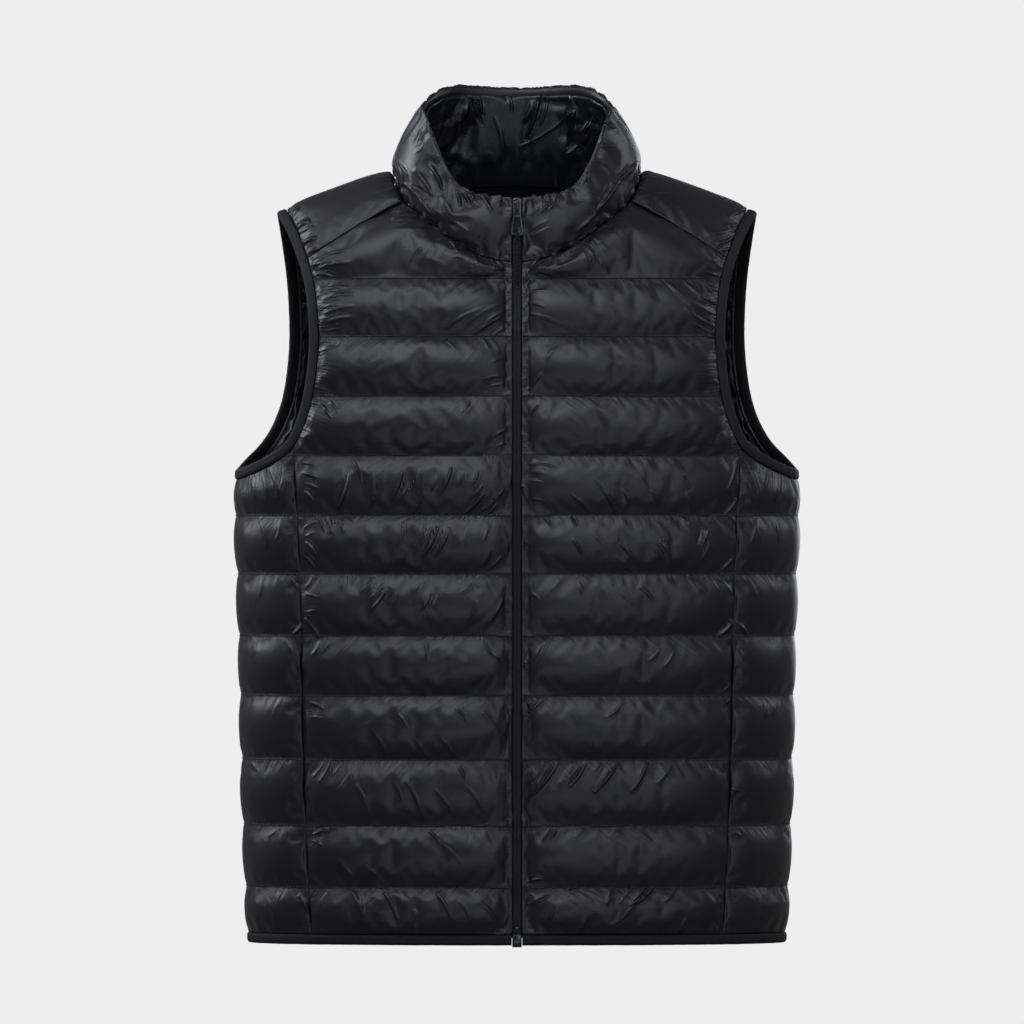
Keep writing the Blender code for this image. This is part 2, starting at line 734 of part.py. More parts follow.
def yoke():
    """The shoulder yoke, over the ridge from its front seam to its back seam."""

    def x_and_tilt(path):
        """x and the signed angle over the ridge, against the share of the length."""
        drop = np.clip((ridge_height(path.x) - path.z) / SHOULDER_ROUND, 0, 1)
        return path.reach / path.length, path.x, path.side * np.arccos(1 - drop)

    neck_front = rows_path(NECK_FRONT[YOKE_CORNER_FRONT:], -1)
    neck_back = rows_path(NECK_BACK[: YOKE_CORNER_BACK + 1], 1)
    neck_side = join(neck_front, neck_back)

    def upper(path, end_z):
        kept = path.z > end_z
        return Path(path.x[kept], path.z[kept], path.side[kept])

    arm_front = upper(ARMHOLE_FRONT_PATH, YOKE_SEAM_FRONT_END)
    arm_back = upper(ARMHOLE_BACK_PATH, YOKE_SEAM_BACK_END)
    arm_side = Path(
        np.concatenate([arm_front.x[::-1], arm_back.x]),
        np.concatenate([arm_front.z[::-1], arm_back.z]),
        np.concatenate([arm_front.side[::-1], arm_back.side]),
    )
    edges = [x_and_tilt(path) for path in (neck_side, arm_side, YOKE_FRONT_SEAM, YOKE_BACK_SEAM)]
    across = np.array([0.011, 0.1, 0.26, 0.44, 0.62, 0.8, 0.92, 1.0])
    over = np.array([0, 0.1, 0.24, 0.38, 0.52, 0.66, 0.8, 0.91, 1.0])

    def read(edge, share):
        return np.stack([np.interp(share, edge[0], edge[1]), np.interp(share, edge[0], edge[2])], axis=-1)

    u, v = across[None, :, None], over[:, None, None]
    neck, arm = read(edges[0], over)[:, None, :], read(edges[1], over)[:, None, :]
    front, back = read(edges[2], across)[None, :, :], read(edges[3], across)[None, :, :]
    corners = (
        (1 - u) * (1 - v) * neck[:1] + u * (1 - v) * arm[:1] + (1 - u) * v * neck[-1:] + u * v * arm[-1:]
    )
    patch = (1 - v) * front + v * back + (1 - u) * neck + u * arm - corners
    x, tilt = patch[..., 0], patch[..., 1]
    z = ridge_height(x) - SHOULDER_ROUND * (1 - np.cos(tilt))
    points, normals = seam_surface(x, z, np.where(tilt < 0, -1.0, 1.0))
    edge = np.minimum(np.minimum(u, 1 - u) * 0.095, np.minimum(v, 1 - v) * 0.075)[..., 0]
    lift = EDGE_RAISE + YOKE_PUFF * (0.12 + 0.88 * (1 - np.exp(-edge / (0.7 * PUFF_RISE))))
    outer = points + normals * lift[..., None]
    inner = points - normals * WALL
    kept = [0, 2, 4, 6, 8]
    return wall_mesh(outer, inner[kept], kept)


# ---------------------------------------------------------------- collar


def rim_point(turn):
    """Rim of the collar at this turn from centre front, on the wearer's left."""
    x = RIM_HALF_WIDTH * np.sin(turn) ** (2 / RIM_ROUNDNESS)
    depth = np.where(turn < math.pi / 2, -RIM_FRONT_DEPTH, RIM_BACK_DEPTH)
    y = RIM_CENTRE_Y + depth * np.abs(np.cos(turn)) ** (2 / RIM_ROUNDNESS)
    return np.stack([x, y, smooth(RIM, 1, np.degrees(turn))], axis=-1)


def collar_frames(shares):
    """Base points, rim points and outward directions of the collar at these shares of its half."""
    base = join(NECK_FRONT_PATH, NECK_BACK_PATH)
    x, z, side = base.at(np.asarray(shares) * base.length)
    bottom = seam_surface(x, z, side)[0]
    dense_turn = np.linspace(0, math.pi - 1e-6, 400)
    rim = rim_point(dense_turn)
    rim[:, 0] += ZIP_EDGE * (1 - dense_turn / math.pi) ** 8
    reach = np.concatenate([[0], np.cumsum(np.linalg.norm(np.diff(rim, axis=0), axis=1))])
    at = np.asarray(shares) * reach[-1]
    top = np.stack([np.interp(at, reach, rim[:, axis]) for axis in range(3)], axis=-1)
    up = top - bottom
    height = np.linalg.norm(up, axis=1, keepdims=True)
    up = up / height
    along = np.gradient(bottom + top, axis=0)
    out = np.cross(along, up)
    out /= np.linalg.norm(out, axis=1, keepdims=True)
    return bottom, up, height, out


def collar_shares():
    return np.concatenate([[0, 0.03, 0.07], np.linspace(0.12, 1, 15)])


def collar_sections(section, first_share=0.0, fullness=None):
    """Sections of the collar round its half, from (share of height, outward) rows."""
    shares = collar_shares()
    bottom, up, height, out = collar_frames(shares)
    out[-1] = (0, 1, 0) - up[-1] * up[-1][1]
    out[-1] /= np.linalg.norm(out[-1])
    sections = []
    for i in np.flatnonzero(shares >= first_share):
        swell = 1.0 if fullness is None else fullness(shares[i])
        rows = []
        for share, outward in section:
            outward = outward * MM * (swell if outward > 0 else 1)
            lifted = SEAM_GAP * 1.4 + share * (height[i] - SEAM_GAP * 1.4)
            rows.append(bottom[i] + up[i] * lifted + out[i] * outward)
        sections.append(np.array(rows))
    return sections


def both_halves(sections):
    """Sections from the wearer's right zip edge, round the back, to the left one."""
    sections[-1][:, 0] = 0
    other = [section * (-1, 1, 1) for section in sections]
    return other[:-1] + [sections[-1]] + sections[-2::-1]


def collar():
    def fullness(share):
        swell = (1 + COLLAR_FRONT_SWELL * max(0, 1 - share / 0.4)) * (1 + 0.06 * math.sin(23 * share))
        return 0.12 + 0.88 * float(rise_from((share - 0.03) * 0.27)) * swell

    return sweep_mesh(both_halves(collar_sections(COLLAR_SECTION, 0.0, fullness)), closed=False)


def collar_lining():
    deep = -(WALL + 1.5 * LINING_GAP) / MM
    thin = LINING_THICKNESS / MM
    inside = [(share, deep - thin) for share in (0.02, 0.33, 0.63, 0.93)]
    outline = [*inside, *((share, deep) for share in (0.93, 0.63, 0.33, 0.02))]
    return sweep_mesh(both_halves(collar_sections(outline, 0.06)), closed=False)


# ---------------------------------------------------------------- bindings


def framed(points, normals, closed):
    """Unit directions across a tape, from the panel towards its open edge."""
    if closed:
        along = np.roll(points, -1, axis=0) - np.roll(points, 1, axis=0)
    else:
        along = np.gradient(points, axis=0)
    across = np.cross(along, normals)
    return across / np.linalg.norm(across, axis=1, keepdims=True)


def tape_sections(points, normals, across, outline, gap):
    return [
        np.array([point + over * (gap + side * MM) + normal * (high * MM) for side, high in outline])
        for point, normal, over in zip(points, normals, across)
    ]


def armhole_binding():
    count = 26
    front, back = ARMHOLE_FRONT_PATH, ARMHOLE_BACK_PATH
    down = [values[:-1] for values in front.at(np.linspace(0, front.length, count + 1))]
    rising = [values[:-1] for values in back.at(np.linspace(back.length, 0, count + 1))]
    x, z, side = (np.concatenate(pair) for pair in zip(down, rising))
    points, normals = seam_surface(x, z, side)
    across = framed(points, normals, closed=True)
    hole = points.mean(axis=0)
    if np.einsum("ij,ij->i", hole - points, across).sum() < 0:
        across = -across
    return sweep_mesh(tape_sections(points, normals, across, ARMHOLE_BINDING, BINDING_GAP), closed=True)


def hem_binding():
    turn = np.linspace(0, math.pi - 1e-4, 4000)
    path = Path(x_at(turn, HEM_EDGE), HEM_EDGE, np.where(turn < math.pi / 2, -1.0, 1.0))
    start = STOP_HALF_WIDTH + 0.4 * MM
    x, z, side = path.at(np.linspace(start, path.length, 34))
    points, normals = seam_surface(x, z, side)
    points[-1, 0] = 0
    normals[-1] = (0, 1, 0)
    across = np.tile((0.0, 0.0, -1.0), (len(points), 1))
    halves = both_halves(tape_sections(points, normals, across, HEM_BINDING, BINDING_GAP))
    return sweep_mesh(halves, closed=False)


# ---------------------------------------------------------------- zip


def zip_line(heights):
    """Points and outward normals of the seam surface down centre front, collar included."""
    points, normals = [], []
    bottom, up, height, out = collar_frames([0.0, 0.03])
    base, rise, tall = bottom[0], up[0], float(height[0, 0])
    forward = np.cross((1.0, 0.0, 0.0), rise)
    forward /= np.linalg.norm(forward)
    for z in heights:
        if z <= base[2]:
            point, normal = seam_surface(ZIP_EDGE, z, -1)
        else:
            point = base + rise * ((z - base[2]) / rise[2])
            normal = forward
        points.append(np.array([0.0, point[1], z]))
        flat = np.array([0.0, normal[1], normal[2]])
        points_normal = flat / np.linalg.norm(flat)
        normals.append(points_normal)
    return np.array(points), np.array(normals)


def strip_sections(heights, outline):
    """Sections of a strip down the zip: outline holds (x, outward) in metres."""
    points, normals = zip_line(heights)
    return [
        np.array([point + normal * outward + np.array([x, 0, 0]) for x, outward in outline])
        for point, normal in zip(points, normals)
    ]


def zip_heights(bottom, top):
    body = np.linspace(bottom, -0.120, 12)
    neck = np.linspace(-0.105, -0.0643, 4)
    return np.array([*body, *neck, *np.linspace(-0.050, top, 3)])


def zip_tape():
    outline = [(x * MM, outward * MM) for x, outward in TAPE]
    return sweep_mesh(strip_sections(zip_heights(TAPE_BOTTOM, TAPE_TOP), outline), closed=False)


def zip_coil():
    w = COIL_HALF_WIDTH
    outline = [(-w, COIL_FRONT), (-w, COIL_BACK), (w, COIL_BACK), (w, COIL_FRONT)]
    heights = zip_heights(STOP_TOP + 0.6 * MM, SLIDER_BOTTOM - 0.5 * MM)
    return sweep_mesh(strip_sections(heights, outline), closed=False)


def box_mesh(low, high):
    corners = [(x, y, z) for z in (low[2], high[2]) for y in (low[1], high[1]) for x in (low[0], high[0])]
    faces = [(0, 2, 3, 1), (4, 5, 7, 6), (0, 1, 5, 4), (2, 6, 7, 3), (0, 4, 6, 2), (1, 3, 7, 5)]
    return np.array(corners), faces


def to_zip(points, at_height):
    """Places points given as (x, outward, height) against the zip's line at one height."""
    centres, normals = zip_line([at_height])
    normal = normals[0]
    up = np.cross((1.0, 0.0, 0.0), normal)
    up = up if up[2] > 0 else -up
    x, outward, z = np.array(points, float).T[:, :, None]
    return centres[0] + x * (1.0, 0.0, 0.0) + outward * normal + (z - at_height) * up


def plate_mesh(outline, back, front):
    """A plate with this outline of (first, third) coordinates, between two second coordinates."""
    count = len(outline)
    points = [(x, back, z) for x, z in outline] + [(x, front, z) for x, z in outline]
    faces = [tuple(range(count)), tuple(reversed(range(count, 2 * count)))]
    faces += [(i, i + count, (i + 1) % count + count, (i + 1) % count) for i in range(count)]
    return points, faces


def zip_slider():
    """The slider's front plate, and the arch that carries the pull."""
    w, top, end = SLIDER_HALF_WIDTH, SLIDER_TOP, SLIDER_BOTTOM
    shoulder = 3 * MM
    waist = 0.8 * MM
    cut = 1.2 * MM
    right_half = [
        (w - cut, top),
        (w, top - 1.5 * MM),
        (w, top - shoulder),
        (w - waist, (top + end) / 2),
        (w, end + shoulder),
        (w - cut / 2, end),
    ]
    plate = plate_mesh(right_half + [(-x, z) for x, z in reversed(right_half)], SLIDER_BACK, SLIDER_FRONT)
    foot = SLIDER_FRONT - 0.4 * MM
    under = PULL_MIDDLE + PULL_HALF_THICKNESS + 0.35 * MM
    over = under + ARCH_THICKNESS
    high, low = PULL_PIN + ARCH_ABOVE_PIN, PULL_PIN - ARCH_BELOW_PIN
    side = [
        # outward, height
        (foot, high),
        (under - 0.8 * MM, high),
        (over, high - 1.6 * MM),
        (over, low + 2.4 * MM),
        (under - 0.6 * MM, low),
        (foot, low),
        (foot, low + 2.2 * MM),
        (under - 1.0 * MM, low + 2.2 * MM),
        (under, low + 3.2 * MM),
        (under, high - 2.5 * MM),
        (under - 0.5 * MM, high - 1.9 * MM),
        (foot, high - 1.9 * MM),
    ]
    points, faces = plate_mesh(side, -ARCH_HALF_WIDTH, ARCH_HALF_WIDTH)
    return plate, ([(x, outward, z) for outward, x, z in points], faces)


def zip_pull():
    """The hanging pull: an eye whose top bar runs under the arch, and a tab that widens downward."""
    back, front = PULL_MIDDLE - PULL_HALF_THICKNESS, PULL_MIDDLE + PULL_HALF_THICKNESS
    top, bottom = PULL_PIN + 0.6 * MM, PULL_END
    eye_low = PULL_PIN - 11.0 * MM
    half_top, half_low, hole = 3.5 * MM, 5.4 * MM, 1.9 * MM
    right_half = [
        (half_top - 0.8 * MM, top),
        (half_top, top - 0.9 * MM),
        (half_top, eye_low - 1 * MM),
        (half_low, bottom + 4 * MM),
        (half_low, bottom + 1.2 * MM),
        (half_low - 1.2 * MM, bottom),
    ]
    outline = right_half + [(-x, z) for x, z in reversed(right_half)]
    eye = box_mesh((-hole, back - 1 * MM, eye_low), (hole, front + 1 * MM, PULL_PIN - 0.6 * MM))
    return plate_mesh(outline, back, front), eye


def pocket_zip():
    """The closed zip in the pocket seam, set in between the two panels' edges."""
    heights = np.linspace(POCKET_TOP - 9 * MM, POCKET_END + 9 * MM, 12)
    sections = []
    for z in heights:
        point, normal = seam_surface(pocket_x(z), z, -1)
        along = np.cross(normal, (0.0, 0.0, 1.0))
        along /= np.linalg.norm(along)
        room = float(pocket_spread(z)) - 0.8 * MM
        section = [point + along * side * room + normal * outward * MM for side, outward in POCKET_ZIP]
        sections.append(np.array(section))
    return sweep_mesh(sections, closed=False)


# ---------------------------------------------------------------- the vest

SHELL = ((0.016, 0.017, 0.020), 0.38)
LINING = ((0.012, 0.013, 0.017), 0.25)
TAPE_CLOTH = ((0.008, 0.008, 0.009), 0.75)
TEETH = ((0.010, 0.010, 0.011), 0.45)
METAL = ((0.030, 0.031, 0.034), 0.30, 0.8)


def cut_or_join(made, other, operation):
    """Applies a Boolean with another object, which is then removed."""
    modifier = made.modifiers.new(operation.lower(), "BOOLEAN")
    modifier.operation = operation
    modifier.object = other
    modifier.solver = "EXACT"
    bpy.context.view_layer.update()
    graph = bpy.context.evaluated_depsgraph_get()
    result = bpy.data.meshes.new_from_object(made.evaluated_get(graph))
    made.modifiers.clear()
    old = made.data
    made.data = result
    bpy.data.meshes.remove(old)
    bpy.data.objects.remove(other)


def hard_zip_parts():
    plate, arch = zip_slider()
    slider = add_object("zip_slider", to_zip(plate[0], PULL_PIN), plate[1], METAL)
    bridge = add_object("slider_arch", to_zip(arch[0], PULL_PIN), arch[1], METAL)
    cut_or_join(slider, bridge, "UNION")

    tab, eye = zip_pull()
    pull = add_object("zip_pull", to_zip(tab[0], PULL_PIN), tab[1], METAL)
    hole = add_object("pull_eye", to_zip(eye[0], PULL_PIN), eye[1], METAL)
    cut_or_join(pull, hole, "DIFFERENCE")
    pin = to_zip([(0, PULL_MIDDLE, PULL_PIN)], PULL_PIN)[0]
    joint = bpy.data.objects.new("pull_joint", None)
    joint.location = pin
    bpy.context.scene.collection.objects.link(joint)
    for vertex in pull.data.vertices:
        vertex.co -= joint.location
    pull.parent = joint

    low = (-STOP_HALF_WIDTH, -3.6 * MM, STOP_BOTTOM)
    high = (STOP_HALF_WIDTH, 1.8 * MM, STOP_TOP)
    points, faces = box_mesh(low, high)
    stop = add_object("zip_bottom_stop", to_zip(points, STOP_TOP), faces, METAL)
    bevel = stop.modifiers.new("edges", "BEVEL")
    bevel.width = 0.5 * MM
    bevel.segments = 2


def main():
    for old in list(bpy.data.objects):
        bpy.data.objects.remove(old)
    paired = (
        ("front", front_panel(), SHELL),
        ("side", side_panel(), SHELL),
        ("yoke", yoke(), SHELL),
        ("armhole_binding", armhole_binding(), TAPE_CLOTH),
        ("zip_tape", zip_tape(), TAPE_CLOTH),
        ("pocket_zip", pocket_zip(), TAPE_CLOTH),
    )
    for name, (points, faces), finish in paired:
        add_object(name + "_left", points, faces, finish)
        add_object(name + "_right", points, faces, finish, mirrored=True)
    add_object("back", *back_panel(), SHELL)
    add_object("back_lining", *back_lining(), LINING)
    add_object("collar", *collar(), SHELL)
    add_object("collar_lining", *collar_lining(), LINING)
    add_object("hem_binding", *hem_binding(), TAPE_CLOTH)
    add_object("zip_coil", *zip_coil(), TEETH)
    hard_zip_parts()


main()
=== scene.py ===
import math
from contextlib import contextmanager
from itertools import groupby

import bmesh
import bpy
import numpy as np
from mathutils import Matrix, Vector
from mathutils.bvhtree import BVHTree
from mathutils.kdtree import KDTree


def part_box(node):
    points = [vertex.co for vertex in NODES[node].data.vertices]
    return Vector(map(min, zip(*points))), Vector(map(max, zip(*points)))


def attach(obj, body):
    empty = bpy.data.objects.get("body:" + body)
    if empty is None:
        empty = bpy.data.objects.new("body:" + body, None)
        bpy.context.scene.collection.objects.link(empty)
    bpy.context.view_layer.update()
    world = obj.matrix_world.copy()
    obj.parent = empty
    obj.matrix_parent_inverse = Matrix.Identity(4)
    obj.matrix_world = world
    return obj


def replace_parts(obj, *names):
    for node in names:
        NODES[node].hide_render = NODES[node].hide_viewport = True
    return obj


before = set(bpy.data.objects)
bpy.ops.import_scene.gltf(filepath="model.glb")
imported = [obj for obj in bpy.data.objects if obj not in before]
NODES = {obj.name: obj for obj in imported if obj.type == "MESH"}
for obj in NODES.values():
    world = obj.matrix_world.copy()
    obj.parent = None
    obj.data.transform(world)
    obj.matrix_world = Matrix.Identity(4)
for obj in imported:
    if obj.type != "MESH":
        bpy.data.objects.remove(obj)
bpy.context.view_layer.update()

MM = 0.001

# ---------------------------------------------------------------- places, in metres

QUILT_LINES = (-0.078, -0.128, -0.179, -0.230, -0.282, -0.3325, -0.3857, -0.4372, -0.4922, -0.5489, -0.6022)
BACK_TOP_LINE = -0.040
HEM_EDGE = -0.6425
SHOULDER_TOP = 0.03
BODY_RADIUS = 0.21
ARMHOLE_RADIUS = 0.11
PHOTO_DISTANCE = 12.0
PHOTO_WIDTH = 0.8878  # what the photograph's width takes in at the vest's middle
PHOTO_CENTRE = (-0.0043, -0.2792)
PHOTO_PIXELS = 1024
SENSOR = 36.0  # mm
NECK_MIDDLE = -0.02  # along Y

# ---------------------------------------------------------------- making and shaping


def placed(name, data):
    """A new object in the scene."""
    made = bpy.data.objects.new(name, data)
    bpy.context.scene.collection.objects.link(made)
    return made


def only(made):
    bpy.ops.object.select_all(action="DESELECT")
    made.select_set(True)
    bpy.context.view_layer.objects.active = made


@contextmanager
def editing(made):
    """Edit mode for one piece."""
    only(made)
    bpy.ops.object.mode_set(mode="EDIT")
    yield
    bpy.ops.object.mode_set(mode="OBJECT")


def apply_modifier(made, kind, **values):
    modifier = made.modifiers.new(kind, kind)
    for name, value in values.items():
        setattr(modifier, name, value)
    only(made)
    bpy.ops.object.modifier_apply(modifier=kind)


def finish_piece(made, body, finish):
    """Gives a piece its body, slot and material."""
    made.data.materials.clear()
    made.data.materials.append(finish)
    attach(made, body)


def copy_of(node, name):
    """A merged copy of a CAD node's mesh, in quads where its triangles pair up."""
    made = placed(name, NODES[node].data.copy())
    with editing(made):
        bpy.ops.mesh.select_all(action="SELECT")
        bpy.ops.mesh.remove_doubles(threshold=0.02 * MM)
        bpy.ops.mesh.tris_convert_to_quads(face_threshold=math.pi, shape_threshold=math.pi)
        bpy.ops.mesh.select_all(action="DESELECT")
    return made


def values_of(items, name):
    values = np.empty(len(items) * 3)
    items.foreach_get(name, values)
    return values.reshape(-1, 3)


def points_of(made):
    return values_of(made.data.vertices, "co")


def normals_of(made):
    return values_of(made.data.vertices, "normal")


def set_points(made, points):
    made.data.vertices.foreach_set("co", np.ascontiguousarray(points).ravel())
    made.data.update()


def dot(a, b):
    return np.einsum("ij,ij->i", a, b)


def unit(vectors):
    return vectors / (np.linalg.norm(vectors, axis=1, keepdims=True) + 1e-9)


def bell(distance, reach):
    return np.exp(-((distance / reach) ** 2))


def tree_of(points):
    tree = KDTree(len(points))
    for number, point in enumerate(points):
        tree.insert(point, number)
    tree.balance()
    return tree


def torso_outward(points):
    """Rough outward directions from the middle of the body, which leans over the shoulders."""
    flat = unit(points * (1, 4, 0))
    lean = np.clip((points[:, 2:] + 0.07) / 0.07, 0, 1)
    return flat * (1 - lean) + np.array((0, 0, 1.0)) * lean


def collar_outward(points):
    return unit((points - (0, NECK_MIDDLE, 0)) * (1, 1.4, 0))


def facing(made, outward):
    """How far each face looks outward, from -1 to 1."""
    faces = made.data.polygons
    return dot(values_of(faces, "normal"), outward(values_of(faces, "center")))


def refine(made, outward, cuts, least):
    """Subdivides the faces that look outward, and returns which points are free to swell."""
    mesh = made.data
    mesh.polygons.foreach_set("select", facing(made, outward) > least)
    with editing(made):
        bpy.ops.mesh.select_mode(type="FACE")
        bpy.ops.mesh.subdivide(number_cuts=cuts)
    crease_sharp_edges(mesh)
    selected = np.empty(len(mesh.polygons), bool)
    mesh.polygons.foreach_get("select", selected)
    seen = np.zeros((len(mesh.vertices), 2), bool)
    for face, chosen in zip(mesh.polygons, selected):
        seen[list(face.vertices), int(chosen)] = True
    mesh.polygons.foreach_set("material_index", (facing(made, outward) < -least).astype(np.int32))
    return seen[:, 1] & ~seen[:, 0]


def round_off(made, free, rounds):
    """Draws the free points towards their neighbours, so a puff's flats run into each other."""
    mesh = made.data
    pairs = np.empty(len(mesh.edges) * 2, np.int32)
    mesh.edges.foreach_get("vertices", pairs)
    pairs = pairs.reshape(-1, 2)
    count = np.bincount(pairs.ravel(), minlength=len(mesh.vertices))[:, None]
    points = points_of(made)
    for _ in range(rounds):
        total = np.empty_like(points)
        for axis in range(3):
            total[:, axis] = np.bincount(pairs[:, 0], points[pairs[:, 1], axis], len(points))
            total[:, axis] += np.bincount(pairs[:, 1], points[pairs[:, 0], axis], len(points))
        points[free] += 0.6 * (total / count - points)[free]
    set_points(made, points)


def crease_sharp_edges(mesh, angle=math.radians(50)):
    """Keeps the edges of a wall crisp where the smoothing would round them away."""
    shape = bmesh.new()
    shape.from_mesh(mesh)
    layer = shape.edges.layers.float.get("crease_edge") or shape.edges.layers.float.new("crease_edge")
    for edge in shape.edges:
        if len(edge.link_faces) == 2 and edge.calc_face_angle() > angle:
            edge[layer] = 1.0
    shape.to_mesh(mesh)
    shape.free()


def rim_route(made):
    """The edge of the faces just refined, as one closed route of points in order."""
    shape = bmesh.new()
    shape.from_mesh(made.data)
    links = {}
    for edge in shape.edges:
        if len(edge.link_faces) == 2 and edge.link_faces[0].select != edge.link_faces[1].select:
            a, b = (vertex.index for vertex in edge.verts)
            links.setdefault(a, []).append(b)
            links.setdefault(b, []).append(a)
    points = {vertex.index: vertex.co.copy() for vertex in shape.verts if vertex.index in links}
    shape.free()
    start = at = next(iter(links))
    route, before = [start], None
    while True:
        steps = [other for other in links[at] if other != before]
        before, at = at, steps[0]
        if at == start or len(route) > len(links):
            break
        route.append(at)
    return np.array([points[number] for number in route])


def line_distance(z, lines):
    return np.min(np.abs(np.asarray(z)[:, None] - np.array(lines)), axis=1)


CLOTH_FRAMES = 20


def add_cloth(made, free, pressure, spare, stiff=15.0, bend=0.3):
    """Cloth that holds every point but the free ones, with spare fabric that has to crumple."""
    group = made.vertex_groups.new(name="held")
    group.add([int(i) for i in np.flatnonzero(~free)], 1.0, "REPLACE")
    cloth = made.modifiers.new("cloth", "CLOTH")
    settings = cloth.settings
    settings.quality = 5
    settings.mass = 0.15
    settings.tension_stiffness = settings.compression_stiffness = stiff
    settings.shear_stiffness = 2.0
    settings.bending_stiffness = bend
    settings.vertex_group_mass = "held"
    settings.use_pressure = True
    settings.uniform_pressure_force = pressure
    settings.shrink_min = settings.shrink_max = -spare
    settings.effector_weights.gravity = 0
    cloth.collision_settings.use_collision = False
    cloth.point_cache.frame_start = 1
    cloth.point_cache.frame_end = CLOTH_FRAMES


def settle(pieces):
    """Runs the cloth of all the pieces together and keeps the result, no further off than each one's
    cap; a lining's folds stand away from the wall that it hangs on."""
    for number in range(CLOTH_FRAMES):
        bpy.context.scene.frame_set(number + 1)
    for made, cap, wall in pieces:
        before = points_of(made)
        only(made)
        bpy.ops.object.modifier_apply(modifier="cloth")
        moved = points_of(made) - before
        if wall:
            out = wall(before)
            into = np.maximum(0, dot(moved, out))
            moved -= 2 * into[:, None] * out
        length = np.linalg.norm(moved, axis=1, keepdims=True)
        set_points(made, before + moved * np.minimum(1, cap / np.maximum(length, 1e-9)))
    bpy.context.scene.frame_set(1)


def subdivide_smooth(made):
    apply_modifier(made, "SUBSURF", levels=1, render_levels=1)
    made.data.shade_smooth()


# ---------------------------------------------------------------- materials


class Nodes:
    """A material's node tree, with its shader."""

    def __init__(self, name):
        self.material = bpy.data.materials.new(name)
        self.material.use_nodes = True
        self.tree = self.material.node_tree
        self.shader = self.tree.nodes["Principled BSDF"]
        self.where = self.add("ShaderNodeTexCoord").outputs["Object"]

    def add(self, kind, **values):
        node = self.tree.nodes.new(kind)
        for name, value in values.items():
            if hasattr(node, name):
                setattr(node, name, value)
            else:
                node.inputs[name.replace("_", " ")].default_value = value
        return node

    def link(self, output, node, name):
        self.tree.links.new(output, node.inputs[name])

    def set(self, **values):
        for name, value in values.items():
            self.shader.inputs[name.replace("_", " ")].default_value = value

    def noise(self, scale, detail=2.0, roughness=0.5, distortion=0.0, vector=None):
        values = dict(Scale=scale, Detail=detail, Roughness=roughness, Distortion=distortion)
        node = self.add("ShaderNodeTexNoise", **values)
        self.link(vector if vector else self.where, node, "Vector")
        return node.outputs["Fac"]

    def ramp(self, value, low, high, low_out=0.0, high_out=1.0):
        node = self.add("ShaderNodeMapRange", From_Min=low, From_Max=high, To_Min=low_out, To_Max=high_out)
        self.link(value, node, "Value")
        return node.outputs["Result"]

    def calculate(self, operation, *values):
        """Arithmetic on one or two values, each of them a number or what another node gives."""
        node = self.add("ShaderNodeMath", operation=operation)
        for socket, value in zip(node.inputs, values):
            if isinstance(value, float):
                socket.default_value = value
            else:
                self.tree.links.new(value, socket)
        return node.outputs[0]

    def colour(self, factor, low, high):
        node = self.add("ShaderNodeValToRGB")
        for element, position, tone in zip(node.color_ramp.elements, (0.3, 0.7), (low, high)):
            element.position = position
            element.color = (*tone, 1)
        self.link(factor, node, "Fac")
        self.link(node.outputs["Color"], self.shader, "Base Color")

    def roughness(self, value, low, high):
        self.link(self.ramp(value, 0.3, 0.7, low, high), self.shader, "Roughness")

    def flow(self, name, seed=0.0):
        """Places along a flow: its attributes say where across it and how far along."""
        node = self.add("ShaderNodeCombineXYZ", Z=seed)
        self.link(self.attribute(name + "_across"), node, "X")
        self.link(self.attribute(name + "_along"), node, "Y")
        return node.outputs["Vector"]

    def crease_lines(self, flow, seed, thin):
        """Thin lines that run on along a flow."""
        level = self.noise(1.0, 2.0, 0.45, 0.25, self.flow(flow, seed))
        away = self.calculate("ABSOLUTE", self.calculate("SUBTRACT", level, 0.5))
        line = self.ramp(away, 0.0, thin, 1.0, 0.0)
        return self.calculate("MULTIPLY", line, self.attribute(flow + "_strength"))

    def bump(self, height, strength, distance):
        node = self.add("ShaderNodeBump", Strength=strength, Distance=distance)
        self.link(height, node, "Height")
        if self.shader.inputs["Normal"].is_linked:
            before = self.shader.inputs["Normal"].links[0].from_socket
            self.link(before, node, "Normal")
        self.link(node.outputs["Normal"], self.shader, "Normal")

    def attribute(self, name):
        return self.add("ShaderNodeAttribute", attribute_name=name).outputs["Fac"]


def nylon(name, dark, light, rough, crumple, sheen=0.0):
    """Thin downproof nylon: a fine weave, soft cloudiness and a small crumple near its seams."""
    made = Nodes(name)
    made.set(Specular_IOR_Level=0.5, Sheen_Weight=sheen, Sheen_Roughness=0.4)
    made.colour(made.noise(18, 3.0), dark, light)
    made.roughness(made.noise(26, 4.0), rough - 0.04, rough + 0.05)
    bands = dict(wave_type="BANDS", bands_direction="DIAGONAL")
    weave = made.add("ShaderNodeTexWave", Scale=900.0, Distortion=1.5, **bands)
    made.link(made.where, weave, "Vector")
    made.bump(weave.outputs["Fac"], 0.10, 0.0002)
    fine = made.noise(130, 4.0, 0.55, 0.4)
    near_seam = made.ramp(made.attribute("pucker"), 0, 1, 0.1, 1.0)
    made.bump(made.calculate("MULTIPLY", fine, near_seam), crumple, 0.001)
    return made


